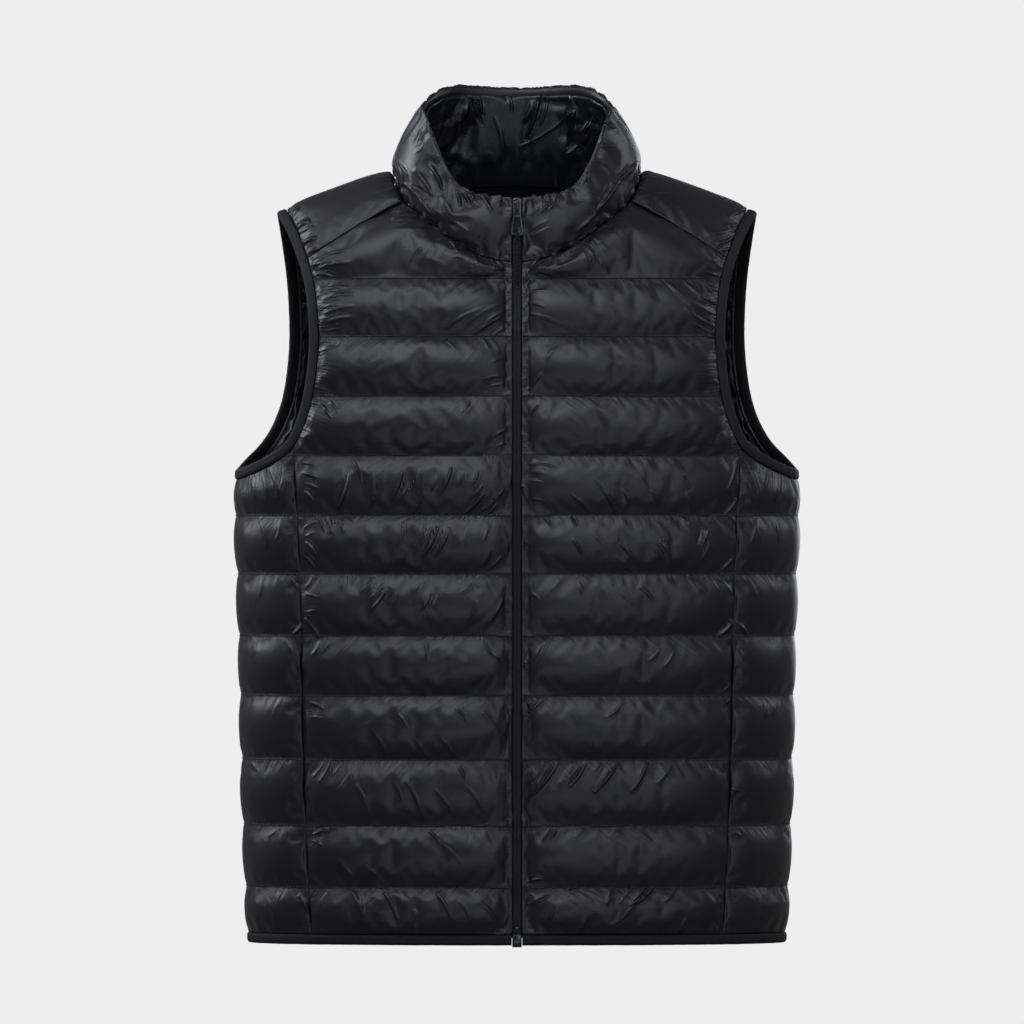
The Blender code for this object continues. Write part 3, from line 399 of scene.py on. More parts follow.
def puffed_shell(made):
    """Adds a cloth's folds: soft streaks that hang from the seams, small ticks at them, and single folds."""
    streaks = made.noise(1.0, 1.5, 0.5, 0.2, made.flow("streak"))
    made.bump(made.calculate("MULTIPLY", streaks, made.attribute("streak_strength")), 1.0, 0.001)
    for flow, seed, thin, height in TICKS:
        made.bump(made.crease_lines(flow, seed, thin), 1.0, height)
    crest = made.ramp(made.calculate("ABSOLUTE", made.attribute("fold_off")), 0.0, 1.0, 1.0, 0.0)
    crest.node.interpolation_type = "SMOOTHSTEP"
    made.bump(made.calculate("MULTIPLY", crest, made.attribute("fold_rise")), 1.0, 0.001)
    return made.material


def woven(name, colour, rough, scale, strength):
    made = Nodes(name)
    made.set(Specular_IOR_Level=0.3)
    made.colour(made.noise(300, 2.0), colour, tuple(c * 1.7 for c in colour))
    made.roughness(made.noise(90), rough - 0.05, rough + 0.05)
    rib = made.add("ShaderNodeTexVoronoi", Scale=scale)
    made.link(made.where, rib, "Vector")
    made.bump(rib.outputs["Distance"], strength, 0.0005)
    return made.material


def lacquered(name, colour, rough):
    made = Nodes(name)
    made.set(Metallic=0.85, Specular_IOR_Level=0.5, Coat_Weight=0.4, Coat_Roughness=0.15)
    made.colour(made.noise(240, 3.0), colour, tuple(c * 1.5 for c in colour))
    made.roughness(made.noise(500, 2.0), rough - 0.06, rough + 0.08)
    made.bump(made.noise(900, 2.0), 0.08, 0.0002)
    return made.material


TICKS = (
    # flow, seed, how thin its lines are, height
    ("tick", 9.1, 0.09, 0.0004),
    ("pull", 5.3, 0.16, 0.00035),
)
SHELL = puffed_shell(
    nylon("shell_nylon", (0.0051, 0.0050, 0.0068), (0.0076, 0.0074, 0.0100), 0.39, 0.20, 0.02)
)
LINING = puffed_shell(nylon("lining_nylon", (0.0030, 0.0034, 0.0050), (0.0062, 0.0068, 0.0096), 0.30, 0.45))
BINDING = woven("elastic_binding", (0.0065, 0.0065, 0.0070), 0.72, 1400, 0.5)
TAPE = woven("zip_tape_cloth", (0.0055, 0.0055, 0.0060), 0.66, 1100, 0.5)
THREAD = woven("sewing_thread", (0.0280, 0.0285, 0.0330), 0.42, 3000, 0.2)
TEETH = woven("coil_nylon", (0.0070, 0.0070, 0.0075), 0.38, 2000, 0.05)
HARDWARE = lacquered("lacquered_zinc", (0.034, 0.035, 0.039), 0.28)

# ---------------------------------------------------------------- puckers and creases


def uneven(place, seed):
    """A smooth random curve from 0 to 1, with a new value at each whole place."""
    values = np.random.default_rng(seed).random(1024)
    cell = np.floor(place).astype(int)
    t = place - cell
    t = t * t * (3 - 2 * t)
    return values[cell % 1024] * (1 - t) + values[(cell + 1) % 1024] * t


def ridges(place, seed):
    """Sharp crests with broad hollows, from 0 to 1, no two alike."""
    crest = 1 - np.abs(2 * uneven(place, seed) - 1)
    return crest ** 1.6 * (0.35 + 0.65 * uneven(place / 3.1, seed + 1))


def fading_ridges(place, distance, period, reach, seed):
    """Ridges that run away from a seam, each as long as it happens to be."""
    own_reach = reach * (0.35 + 1.1 * uneven(place / period / 1.7, seed + 2))
    lean = 0.5 * (uneven(place / period / 6, seed + 3) - 0.5)
    fade = bell(distance, own_reach) * np.clip(distance / (1.2 * MM), 0, 1)
    return ridges((place + lean * distance) / period, seed) * fade


SEAM_KINDS = (
    # kind, nodes beside it
    ("zip", ("zip_tape_left", "zip_tape_right")),
    ("armhole", ("armhole_binding_left", "armhole_binding_right")),
    ("hem", ("hem_binding",)),
    ("neck", ("collar",)),
    ("rim", ("collar_lining",)),
)
PUCKERS = {
    # kind: (period, reach, height) in mm
    "zip": (5.2, 8.0, 0.30),
    "armhole": (5.2, 15.0, 0.9),
    "hem": (5.5, 9.0, 0.6),
    "neck": (6.5, 17.0, 1.0),
    "rim": (6.0, 12.0, 0.9),
    "seam": (6.5, 9.0, 0.3),
    "quilt": (5.2, 7.0, 0.35),
}
NODE_TREES = [(kind, [tree_of(points_of(NODES[node])) for node in nodes]) for kind, nodes in SEAM_KINDS]


def seam_kinds(route, names):
    """What each point of a panel's edge is sewn to."""
    kinds = []
    for point in route:
        near = [(kind, trees) for kind, trees in NODE_TREES if kind in names]
        nearest, kind = min((min(tree.find(point)[2] for tree in trees), kind) for kind, trees in near)
        kinds.append(kind if nearest < 5 * MM else "seam")
    return kinds


def lengths_along(route):
    """How far along a route each of its points is."""
    return np.concatenate([[0], np.cumsum(np.linalg.norm(np.diff(route, axis=0), axis=1))])


def seam_puckers(points, route, kinds, seed):
    """How far the puckers of its seams lift each point of a panel, how far away the nearest seam is,
    and places for the material."""
    tree = tree_of(route)
    found = [tree.find(point)[1:] for point in points]
    number = np.array([row[0] for row in found])
    distance = np.array([row[1] for row in found])
    ahead = unit(route[np.minimum(number + 1, len(route) - 1)] - route[np.maximum(number - 1, 0)])
    place = lengths_along(route)[number] + dot(points - route[number], ahead)
    kinds = np.array(kinds)[number]
    lift, pull = np.zeros(len(points)), np.zeros(len(points))
    for kind, (period, reach, height) in PUCKERS.items():
        chosen = kinds == kind
        if chosen.any():
            rise = fading_ridges(place[chosen], distance[chosen], period * MM, reach * MM, seed + len(kind))
            lift[chosen] = height * MM * rise
            own_reach = reach * MM * (0.5 + 1.0 * uneven(place[chosen] / (period * MM) / 1.9, seed + 6))
            pull[chosen] = bell(distance[chosen], own_reach) * min(1, height)
    return lift, distance, {"across": place / (3.2 * MM), "along": distance / (22 * MM), "strength": pull}


def streaks_and_ticks(points, lines):
    """Soft streaks that hang from each quilt line and small ticks beside it: places for the material."""
    order = np.sort(np.array([*lines, HEM_EDGE, SHOULDER_TOP]))
    row = np.clip(np.searchsorted(order, points[:, 2]), 1, len(order) - 1)
    top, bottom = order[row], order[row - 1]
    down = np.clip(top - points[:, 2], 0, None)
    up = np.clip(points[:, 2] - bottom, 0, None)
    place = round_place(points)
    lean = 1.6 * (uneven(place / (60 * MM) + row * 3.7, 71) - 0.5)
    lean += np.where(points[:, 1] < 0, -0.45 * np.sign(points[:, 0]), 0.0)
    length = uneven(place / (14 * MM) + row * 7.3, 72) * uneven(place / (41 * MM) + row * 1.9, 73)
    length = MM * (6 + 26 * length)
    streak = {"across": (place + lean * down) / (6.5 * MM), "along": down / (60 * MM) + row * 5.0}
    streak["strength"] = bell(down, length) + 0.5 * bell(up, 5 * MM)
    patchy = 0.2 + 0.8 * uneven(place / (17 * MM) + row * 2.3, 74)
    tick = {"across": (place + lean * down) / (1.9 * MM), "along": down / (9 * MM) + row * 5.0}
    tick["strength"] = patchy * bell(down, 4.5 * MM) + 0.5 * bell(up, 2.5 * MM)
    return streak, tick


def round_place(points):
    """Distance round the body."""
    return np.arctan2(points[:, 0], -2 * points[:, 1]) * BODY_RADIUS


def quilt_puckers(points, lines, seed):
    """Small puckers above and below each quilt line."""
    period, reach, height = PUCKERS["quilt"]
    place = round_place(points)
    lift = np.zeros(len(points))
    for number, line in enumerate(lines):
        for above in (0, 1):
            gap = (points[:, 2] - line) * (1 if above else -1)
            near = (gap > 0) & (gap < 3 * reach * MM)
            rise = fading_ridges(place[near], gap[near], period * MM, reach * MM, seed + 10 * number + above)
            lift[near] += height * MM * rise * (0.7 if above else 1.0)
    return lift


def photo_place(points):
    """Where each point shows in the photograph, in its pixels: across and down."""
    scale = PHOTO_PIXELS / PHOTO_WIDTH * PHOTO_DISTANCE / (PHOTO_DISTANCE + points[:, 1])
    across, up = points[:, 0] - PHOTO_CENTRE[0], points[:, 2] - PHOTO_CENTRE[1]
    return PHOTO_PIXELS / 2 + across * scale, PHOTO_PIXELS / 2 - up * scale


# Single folds, placed against the photograph: each runs from one point to another, across and down
# in its pixels, and then come its half width in pixels and its height in mm.
FRONT_RIGHT_FOLDS = (
    # top, under the yoke seam and along the neck
    (392, 211, 412, 212, 2.0, 0.5), (394, 219, 424, 222, 2.2, 0.5), (397, 229, 430, 231, 2.0, 0.4),
    (314, 262, 346, 250, 1.5, 1.0), (314, 265, 332, 263, 1.3, 1.0), (317, 269, 349, 262, 2.0, 0.8),
    (317, 274, 334, 277, 1.5, 0.9), (449, 240, 457, 250, 1.3, 0.9), (463, 244, 475, 257, 1.4, 0.9),
    (472, 246, 487, 258, 1.2, 0.6), (478, 249, 503, 266, 1.4, 1.0), (484, 252, 505, 262, 1.1, 0.8),
    (491, 279, 505, 277, 1.3, 0.9), (494, 269, 506, 271, 1.3, 0.7), (411, 260, 418, 247, 1.6, 0.6),
    (420, 264, 427, 250, 1.6, 0.4),
    # first row
    (320, 291, 346, 287, 1.6, 0.8), (322, 299, 353, 294, 1.8, 0.7), (325, 307, 340, 305, 1.5, 0.6),
    (325, 313, 352, 306, 1.7, 0.7), (327, 322, 350, 317, 1.8, 0.8), (327, 331, 341, 329, 1.4, 0.6),
    (446, 328, 483, 308, 2.0, 0.7), (475, 334, 500, 318, 1.7, 0.9), (468, 322, 504, 303, 2.2, 0.5),
    (484, 324, 505, 311, 1.6, 0.7), (494, 335, 505, 328, 1.2, 0.9),
    # second and third rows
    (446, 340, 456, 350, 1.3, 0.4), (483, 339, 488, 347, 1.2, 0.6), (490, 338, 497, 346, 1.2, 0.5),
    (484, 379, 505, 376, 1.4, 0.6), (489, 387, 505, 384, 1.2, 0.5), (492, 362, 505, 358, 1.6, 0.4),
    (470, 402, 463, 411, 1.4, 0.5), (495, 436, 505, 430, 1.3, 0.7), (322, 350, 338, 347, 1.5, 0.6),
    (320, 404, 330, 416, 1.7, 0.9), (330, 402, 337, 411, 1.4, 0.6), (497, 447, 505, 443, 1.2, 0.7),
    # fourth row: the strongest ones
    (350, 473, 338, 508, 1.6, 1.3), (354, 461, 361, 480, 1.2, 1.1), (343, 470, 334, 492, 2.2, 0.5),
    (373, 473, 370, 508, 1.7, 1.1), (386, 471, 375, 500, 2.0, 0.8), (402, 472, 392, 499, 1.7, 1.2),
    (409, 484, 399, 500, 1.5, 0.6), (419, 472, 412, 490, 1.5, 1.1), (424, 489, 414, 511, 1.6, 0.6),
    (436, 478, 431, 490, 1.5, 0.7), (451, 469, 441, 494, 1.6, 1.4), (463, 474, 459, 485, 1.5, 1.0),
    (478, 472, 472, 485, 1.5, 0.8), (482, 486, 472, 497, 1.4, 0.9), (482, 496, 465, 513, 1.5, 1.1),
    (498, 495, 483, 510, 1.6, 1.0), (496, 505, 487, 514, 1.3, 1.3), (503, 491, 493, 499, 1.4, 0.8),
    (304, 473, 316, 477, 1.8, 1.0), (304, 463, 313, 464, 1.6, 0.8), (306, 492, 312, 500, 1.8, 1.3),
    (307, 484, 317, 488, 1.5, 0.7),
    # fifth row
    (329, 518, 331, 532, 2.2, 1.4), (318, 517, 324, 530, 1.7, 1.0), (338, 517, 343, 531, 1.8, 0.8),
    (345, 516, 353, 520, 1.3, 0.7), (403, 524, 399, 546, 1.8, 0.7), (423, 526, 412, 545, 1.8, 0.5),
    (431, 528, 422, 545, 1.5, 0.8), (438, 528, 424, 555, 1.4, 1.5), (449, 529, 436, 555, 1.6, 0.9),
    (466, 531, 460, 546, 1.8, 0.6), (487, 531, 482, 543, 1.7, 0.5), (490, 552, 483, 565, 1.2, 0.9),
    (501, 557, 488, 569, 1.2, 0.9), (406, 551, 402, 564, 1.5, 0.6), (306, 527, 315, 522, 1.5, 1.0),
    (307, 543, 315, 554, 1.8, 1.2), (306, 557, 314, 567, 1.5, 1.2), (307, 536, 313, 533, 1.4, 0.8),
    # sixth row, and the peaked fold over the pocket's top
    (313, 577, 307, 587, 1.7, 1.2), (343, 577, 341, 588, 1.5, 0.5), (353, 576, 352, 584, 1.4, 0.6),
    (373, 579, 362, 591, 1.6, 0.8), (383, 584, 370, 599, 1.6, 0.9), (385, 591, 372, 609, 1.6, 1.3),
    (396, 594, 389, 604, 1.7, 0.5), (430, 594, 423, 609, 1.4, 1.0), (442, 592, 434, 606, 1.4, 0.9),
    (421, 581, 415, 590, 1.5, 0.4), (472, 582, 462, 592, 1.7, 0.5), (503, 599, 489, 622, 1.5, 0.8),
    (477, 602, 468, 619, 1.8, 0.5), (307, 594, 316, 597, 1.5, 0.7), (307, 612, 316, 611, 1.4, 0.7),
    (306, 619, 319, 637, 1.9, 1.8),
    # seventh to ninth rows, quieter
    (425, 641, 427, 662, 1.8, 0.6), (487, 653, 501, 664, 1.5, 0.6), (320, 642, 313, 654, 1.6, 0.8),
    (330, 641, 323, 652, 1.6, 0.5), (399, 715, 407, 727, 1.6, 0.6), (457, 709, 466, 719, 1.5, 0.8),
    (483, 713, 499, 733, 1.6, 0.6), (372, 731, 385, 750, 2.0, 0.5), (414, 739, 427, 757, 2.0, 0.6),
    (442, 739, 453, 754, 1.8, 0.5), (312, 703, 322, 708, 1.5, 0.8), (313, 717, 321, 718, 1.3, 0.5),
    # tenth row
    (330, 763, 320, 781, 1.4, 1.6), (324, 763, 315, 775, 1.3, 1.2), (341, 764, 333, 775, 1.5, 0.7),
    (350, 773, 337, 791, 2.0, 0.7), (357, 786, 369, 814, 2.0, 0.9), (407, 782, 423, 818, 2.0, 1.0),
    (459, 767, 465, 778, 1.5, 0.9), (466, 786, 483, 810, 2.0, 0.6), (435, 790, 453, 814, 2.2, 0.6),
    (395, 783, 402, 800, 1.8, 0.5),
    # eleventh row
    (315, 834, 328, 830, 1.5, 1.6), (326, 831, 337, 827, 1.3, 1.2), (314, 841, 321, 845, 1.4, 0.8),
    (429, 831, 440, 843, 1.6, 0.9), (339, 861, 353, 880, 2.4, 0.8), (365, 866, 381, 880, 2.0, 0.4),
    (444, 846, 460, 862, 2.0, 0.4),
    # row over the hem
    (351, 889, 361, 914, 2.4, 1.0), (385, 893, 397, 918, 2.2, 1.0), (437, 893, 451, 918, 2.0, 0.9),
    (479, 901, 497, 921, 2.0, 0.8), (364, 903, 359, 922, 2.0, 0.6), (415, 911, 410, 926, 2.0, 0.7),
    (461, 902, 472, 923, 2.0, 0.6), (379, 887, 386, 890, 1.2, 0.8), (402, 891, 408, 896, 1.2, 0.6),
)
FRONT_LEFT_FOLDS = (
    # along the neck and the yoke seam
    (530, 266, 572, 238, 1.5, 1.2), (529, 273, 556, 254, 1.5, 1.6), (540, 270, 567, 243, 1.4, 0.8),
    (530, 262, 545, 254, 1.2, 0.9), (578, 236, 575, 246, 1.5, 0.7), (589, 249, 595, 261, 2.0, 0.6),
    (600, 261, 608, 272, 1.8, 0.7), (621, 258, 628, 265, 1.7, 0.7), (584, 252, 588, 270, 1.8, 0.5),
    (725, 263, 703, 241, 1.7, 1.0), (722, 268, 710, 256, 1.5, 1.0), (714, 262, 697, 246, 1.8, 0.6),
    (718, 275, 706, 272, 1.3, 0.8),
    # first row
    (717, 291, 694, 276, 1.5, 0.9), (717, 304, 684, 281, 1.8, 1.1), (715, 314, 668, 283, 1.9, 1.1),
    (714, 326, 687, 309, 1.8, 0.8), (712, 333, 696, 324, 1.5, 0.7), (716, 283, 700, 279, 1.3, 0.7),
    (529, 285, 534, 281, 1.2, 1.0), (529, 293, 546, 290, 1.3, 0.6), (530, 314, 562, 325, 2.2, 0.4),
    (530, 303, 543, 306, 1.4, 0.5),
    # second and third rows
    (531, 390, 541, 374, 1.6, 0.8), (533, 413, 538, 406, 1.2, 1.0), (690, 337, 702, 340, 1.3, 0.8),
    (547, 358, 556, 348, 2.2, 0.5), (726, 344, 713, 348, 1.4, 0.7), (729, 404, 719, 414, 1.6, 0.7),
    # fourth row
    (530, 464, 554, 467, 1.2, 0.6), (530, 472, 545, 474, 1.2, 0.6), (531, 481, 541, 482, 1.2, 0.5),
    (531, 499, 544, 501, 1.3, 0.5), (603, 490, 616, 513, 1.7, 1.2), (612, 493, 619, 506, 1.5, 0.9),
    (623, 490, 629, 502, 1.5, 0.8), (652, 492, 658, 504, 1.5, 1.0), (686, 478, 691, 489, 1.3, -1.0),
    (687, 494, 692, 511, 1.5, 0.9), (572, 495, 590, 512, 1.8, 0.8), (596, 479, 605, 492, 2.2, 0.5),
    (736, 459, 729, 488, 1.6, 1.3), (736, 500, 728, 512, 1.4, 1.1), (640, 478, 648, 490, 1.8, 0.4),
    # fifth row
    (545, 518, 551, 526, 1.3, 0.8), (570, 517, 575, 525, 1.4, 1.1), (574, 540, 581, 552, 1.6, 1.0),
    (617, 541, 633, 558, 1.9, 0.9), (616, 556, 632, 572, 1.8, 0.4), (661, 542, 671, 560, 1.6, 1.4),
    (655, 549, 660, 558, 1.4, 0.7), (706, 531, 703, 545, 1.5, 1.3), (701, 528, 698, 541, 1.3, -0.8),
    (710, 542, 703, 558, 1.5, 0.8), (737, 551, 723, 569, 1.5, 1.1), (657, 523, 669, 540, 2.0, 0.6),
    (683, 518, 688, 526, 1.4, 0.9), (727, 515, 734, 521, 1.3, 1.1), (594, 534, 604, 546, 2.0, 0.4),
    # sixth row, and the peaked fold over the pocket's top
    (641, 587, 653, 600, 1.8, 0.9), (621, 593, 632, 604, 2.0, 0.5), (715, 576, 732, 593, 1.7, 0.7),
    (706, 577, 718, 590, 1.7, 0.5), (579, 583, 583, 593, 1.6, 0.6), (560, 580, 551, 590, 1.8, 0.5),
    (533, 594, 539, 599, 1.3, 0.7), (733, 621, 719, 636, 1.9, 1.8), (690, 580, 700, 592, 1.8, 0.4),
    # seventh to ninth rows, quieter
    (543, 646, 535, 660, 1.5, 0.8), (549, 642, 541, 654, 1.5, 0.5), (673, 654, 663, 668, 1.7, 0.8),
    (659, 651, 647, 662, 1.8, 0.8), (734, 679, 724, 691, 1.4, 1.0), (735, 692, 727, 703, 1.4, 1.2),
    (621, 705, 607, 717, 1.7, 0.8), (541, 701, 529, 711, 1.6, 1.0), (535, 700, 529, 706, 1.2, 0.8),
    (734, 752, 728, 762, 1.4, 0.7),
    # tenth row: a run of folds that fall away from the zip
    (544, 763, 530, 784, 1.3, 0.9), (551, 764, 538, 786, 1.3, 1.1), (557, 765, 529, 798, 1.4, 1.4),
    (571, 766, 560, 783, 1.7, 0.5), (585, 765, 571, 786, 1.5, 1.3), (579, 765, 566, 780, 1.5, 0.8),
    (600, 764, 595, 770, 1.2, 0.7), (617, 764, 595, 792, 1.5, 1.7), (647, 764, 631, 792, 1.7, 1.5),
    (671, 767, 657, 783, 1.7, 0.9), (607, 770, 590, 792, 2.2, 0.4),
    # eleventh row
    (551, 830, 544, 840, 1.2, 1.2), (556, 831, 552, 838, 1.2, 1.1), (583, 829, 576, 837, 1.4, 0.6),
    (527, 882, 541, 879, 1.3, 1.1), (618, 829, 611, 835, 1.4, 0.6),
    # row over the hem
    (549, 896, 529, 904, 1.3, 1.2), (576, 887, 569, 891, 1.2, 1.0), (613, 889, 607, 904, 1.4, 1.1),
    (624, 897, 618, 905, 1.6, 0.6), (633, 888, 625, 895, 1.3, 0.8), (647, 889, 631, 905, 1.5, 1.7),
    (653, 888, 639, 902, 1.5, 1.6), (675, 889, 665, 902, 1.6, 1.0), (587, 916, 577, 933, 1.7, 0.7),
    (632, 907, 611, 926, 2.0, 0.7), (686, 920, 675, 935, 1.8, 0.5), (556, 908, 545, 922, 1.8, 0.5),
)
SIDE_RIGHT_FOLDS = (
    (303, 623, 294, 634, 1.8, 1.6), (301, 731, 308, 727, 1.4, 1.0), (252, 763, 256, 769, 1.4, 0.8),
    (300, 896, 311, 921, 2.0, 1.0), (270, 470, 279, 496, 2.0, 0.9), (285, 470, 277, 498, 2.0, 0.8),
    (262, 470, 266, 500, 2.2, 0.7), (296, 478, 290, 506, 1.8, 0.9), (251, 474, 254, 500, 2.0, 0.6),
    (260, 520, 266, 546, 2.0, 0.6), (281, 520, 276, 540, 1.8, 0.7), (296, 524, 299, 544, 1.7, 0.6),
    (292, 580, 300, 592, 1.6, 0.6), (262, 582, 258, 598, 1.7, 0.5), (276, 830, 269, 836, 1.4, 0.6),
    (285, 640, 292, 652, 1.6, 0.5), (268, 900, 275, 922, 2.0, 0.5), (256, 640, 252, 656, 1.8, 0.4),
)
SIDE_LEFT_FOLDS = (
    (737, 622, 747, 634, 1.8, 1.5), (739, 791, 733, 789, 1.3, 0.8), (735, 832, 741, 836, 1.4, 0.8),
    (764, 704, 766, 716, 1.4, 0.8), (776, 703, 773, 714, 1.5, 0.6), (752, 470, 760, 498, 2.0, 0.9),
    (768, 468, 762, 496, 2.0, 0.9), (780, 472, 776, 500, 1.9, 0.7), (747, 480, 751, 506, 1.7, 0.8),
    (757, 520, 752, 542, 1.9, 0.7), (776, 521, 779, 540, 1.8, 0.6), (748, 580, 756, 594, 1.7, 0.5),
    (738, 648, 743, 658, 1.5, 0.7), (739, 664, 745, 672, 1.4, 0.5), (760, 898, 755, 920, 1.9, 0.5),
)
YOKE_RIGHT_FOLDS = (
    (293, 217, 298, 209, 1.5, 1.5), (297, 229, 308, 221, 2.4, 2.0), (304, 243, 316, 238, 1.9, 1.7),
    (309, 252, 317, 249, 1.4, 1.1), (301, 233, 312, 227, 1.3, 0.7), (309, 257, 315, 256, 1.2, 0.9),
)
YOKE_LEFT_FOLDS = (
    (654, 166, 640, 179, 1.5, 1.3), (641, 178, 635, 193, 1.5, 1.3), (646, 165, 638, 175, 1.3, 0.7),
    (747, 207, 730, 215, 1.8, 1.5), (735, 229, 706, 233, 2.2, 0.8), (735, 236, 718, 244, 1.7, 1.0),
    (731, 248, 722, 250, 1.4, 0.9), (738, 224, 724, 226, 1.6, 0.7),
)
COLLAR_FOLDS = (
    # right half, the one on the photograph's left: broad folds that sweep forward from the shoulder
    (396, 160, 404, 184, 2.2, 1.8), (404, 182, 430, 214, 2.2, 2.0), (402, 166, 409, 180, 1.5, 1.0),
    (416, 170, 431, 194, 2.4, 1.6), (430, 165, 442, 188, 2.0, 1.8), (415, 187, 428, 196, 2.2, -1.2),
    (421, 130, 416, 142, 1.8, 0.6), (424, 146, 416, 152, 1.8, 0.6), (440, 196, 452, 216, 2.6, 0.8),
    (457, 192, 460, 206, 1.6, 1.6), (463, 193, 470, 205, 1.7, 1.4), (473, 190, 477, 203, 1.5, 1.4),
    (481, 196, 492, 212, 2.0, 0.8), (450, 220, 468, 232, 2.0, 0.7), (430, 205, 446, 222, 2.2, 0.6),
    # left half
    (637, 161, 618, 181, 1.9, 1.6), (619, 180, 597, 210, 1.6, 1.9), (599, 208, 578, 230, 2.0, 1.3),
    (628, 165, 613, 181, 1.5, -1.2), (636, 160, 631, 181, 1.6, 1.1), (613, 176, 597, 206, 1.4, -1.1),
    (616, 129, 607, 131, 1.3, 0.8), (611, 146, 601, 147, 1.3, 0.8), (549, 199, 543, 211, 1.5, 1.2),
    (555, 200, 550, 209, 1.4, 1.0), (567, 191, 566, 201, 1.4, 1.4), (530, 231, 547, 221, 1.6, 0.6),
    (530, 240, 548, 228, 1.5, 0.5), (532, 214, 541, 207, 1.5, 0.5), (588, 175, 581, 185, 1.6, 0.9),
)
HIDDEN_SEED = 23
LIVELY = (0.6, 1.0, 0.7, 1.5, 1.3, 1.0, 0.5, 0.6, 0.6, 1.2, 0.6, 1.0)  # how much each hidden row is folded
ZIP_PIXEL = 517


def hidden_folds(rows, across, mean_gap):
    """Folds like the front's for the rows of a side that the photograph doesn't show, no two alike."""
    dice = np.random.default_rng(HIDDEN_SEED + int(across[1]))
    folds = []
    for number, (top, bottom) in enumerate(zip(rows[:-1], rows[1:])):
        lively = LIVELY[number % len(LIVELY)]
        at = across[0] + dice.uniform(2, mean_gap)
        while at < across[1]:
            from_top = dice.random() < 0.65
            start = top + 2 if from_top else top + (bottom - top) * dice.uniform(0.15, 0.55)
            length = dice.uniform(0.18, 0.62) * (bottom - top)
            lean = np.sign(ZIP_PIXEL - at) * -dice.uniform(0.1, 0.9) * length + dice.normal(0, 0.12) * length
            height = dice.uniform(0.35, 1.0) ** 1.5 * 1.5 * min(1.2, lively)
            end = (at + lean, min(start + length, bottom - 2))
            folds.append((at, start, *end, dice.uniform(1.3, 2.2), height))
            at += mean_gap * dice.exponential(1.0) / lively + 3
    return tuple(folds)


ROW_PIXELS = (232, 278, 336, 396, 457, 516, 575, 636, 696, 761, 828, 888, 936)
COLLAR_LINING_FOLDS = (
    (468, 100, 462, 121, 2.6, 1.9), (479, 98, 481, 112, 1.6, 1.4), (470, 97, 482, 124, 1.4, -1.2),
    (533, 103, 524, 121, 2.8, 1.9), (540, 93, 526, 137, 1.8, 1.4), (571, 113, 521, 146, 1.4, 1.2),
    (574, 112, 567, 144, 1.8, 1.9), (571, 97, 567, 112, 1.5, 1.4), (594, 117, 584, 132, 2.0, 1.9),
    (603, 124, 588, 153, 2.2, 1.6), (577, 146, 566, 155, 1.6, 1.2), (422, 109, 426, 124, 1.8, 1.0),
    (495, 118, 503, 150, 2.4, 0.7), (548, 98, 541, 124, 1.6, 0.9), (443, 105, 436, 140, 2.4, 0.8),
    (510, 97, 512, 112, 1.5, 0.7), (556, 178, 558, 190, 1.6, 0.6),
)
BACK_LINING_FOLDS = (
    # what shows through the armholes
    (307, 272, 297, 292, 1.6, 1.8), (306, 288, 296, 312, 1.4, 1.6), (307, 306, 298, 330, 1.5, 1.5),
    (302, 334, 297, 352, 1.3, 1.0), (729, 276, 738, 299, 1.5, 1.2), (730, 300, 737, 330, 1.4, 1.0),
    (733, 338, 739, 362, 1.4, 0.8),
)
BACK_FOLDS = hidden_folds(ROW_PIXELS, (246, 788), 17)
COLLAR_BACK_FOLDS = hidden_folds((104, 168), (428, 606), 16)
FOLDS = {
    # node: folds, and those on its far side
    "front_right": (FRONT_RIGHT_FOLDS, ()), "front_left": (FRONT_LEFT_FOLDS, ()),
    "side_right": (SIDE_RIGHT_FOLDS, ()), "side_left": (SIDE_LEFT_FOLDS, ()),
    "yoke_right": (YOKE_RIGHT_FOLDS, YOKE_RIGHT_FOLDS), "yoke_left": (YOKE_LEFT_FOLDS, YOKE_LEFT_FOLDS),
    "back": ((), BACK_FOLDS), "collar": (COLLAR_FOLDS, COLLAR_BACK_FOLDS),
    "back_lining": (BACK_LINING_FOLDS, ()),
    "collar_lining": (COLLAR_LINING_FOLDS, hidden_folds((196, 250), (440, 596), 16)),
}


def fold_places(points, folds, near_side):
    """How far each point is from the crest of its nearest fold, in half widths, and how high that is."""
    across, down = photo_place(points)
    off = np.full(len(points), 9.0)
    rise, lift = np.zeros(len(points)), np.zeros(len(points))
    best, second = np.full(len(points), 5.0), np.full(len(points), 5.0)
    for x1, y1, x2, y2, width, height in folds:
        run = np.array((x2 - x1, y2 - y1), float)
        length = np.linalg.norm(run)
        run /= length
        along = (across - x1) * run[0] + (down - y1) * run[1]
        share = np.clip(along / length, 0, 1)
        bow = 0.05 * length * np.sin(math.pi * share)
        side = (down - y1) * run[0] - (across - x1) * run[1] + bow
        beyond = along - share * length
        fade = np.sin(math.pi * (0.12 + 0.76 * share)) ** 0.8 * bell(beyond, 1.6)
        lift += 0.7 * height * MM * fade * bell(side, 1.6 * width) * near_side
        distance = np.hypot(side, beyond)
        chosen = (distance < best) & near_side
        second = np.where(chosen, best, np.where(near_side, np.minimum(second, distance), second))
        best[chosen] = distance[chosen]
        off[chosen] = side[chosen] / (1.45 * width)
        rise[chosen] = 0.85 * height * fade[chosen]
    return off, rise * np.clip((second - best) / 1.2, 0, 1), lift


# ---------------------------------------------------------------- padded pieces


def store(made, name, values):
    attribute = made.data.attributes.new(name, "FLOAT", "POINT")
    attribute.data.foreach_set("value", np.ascontiguousarray(values, np.float32))


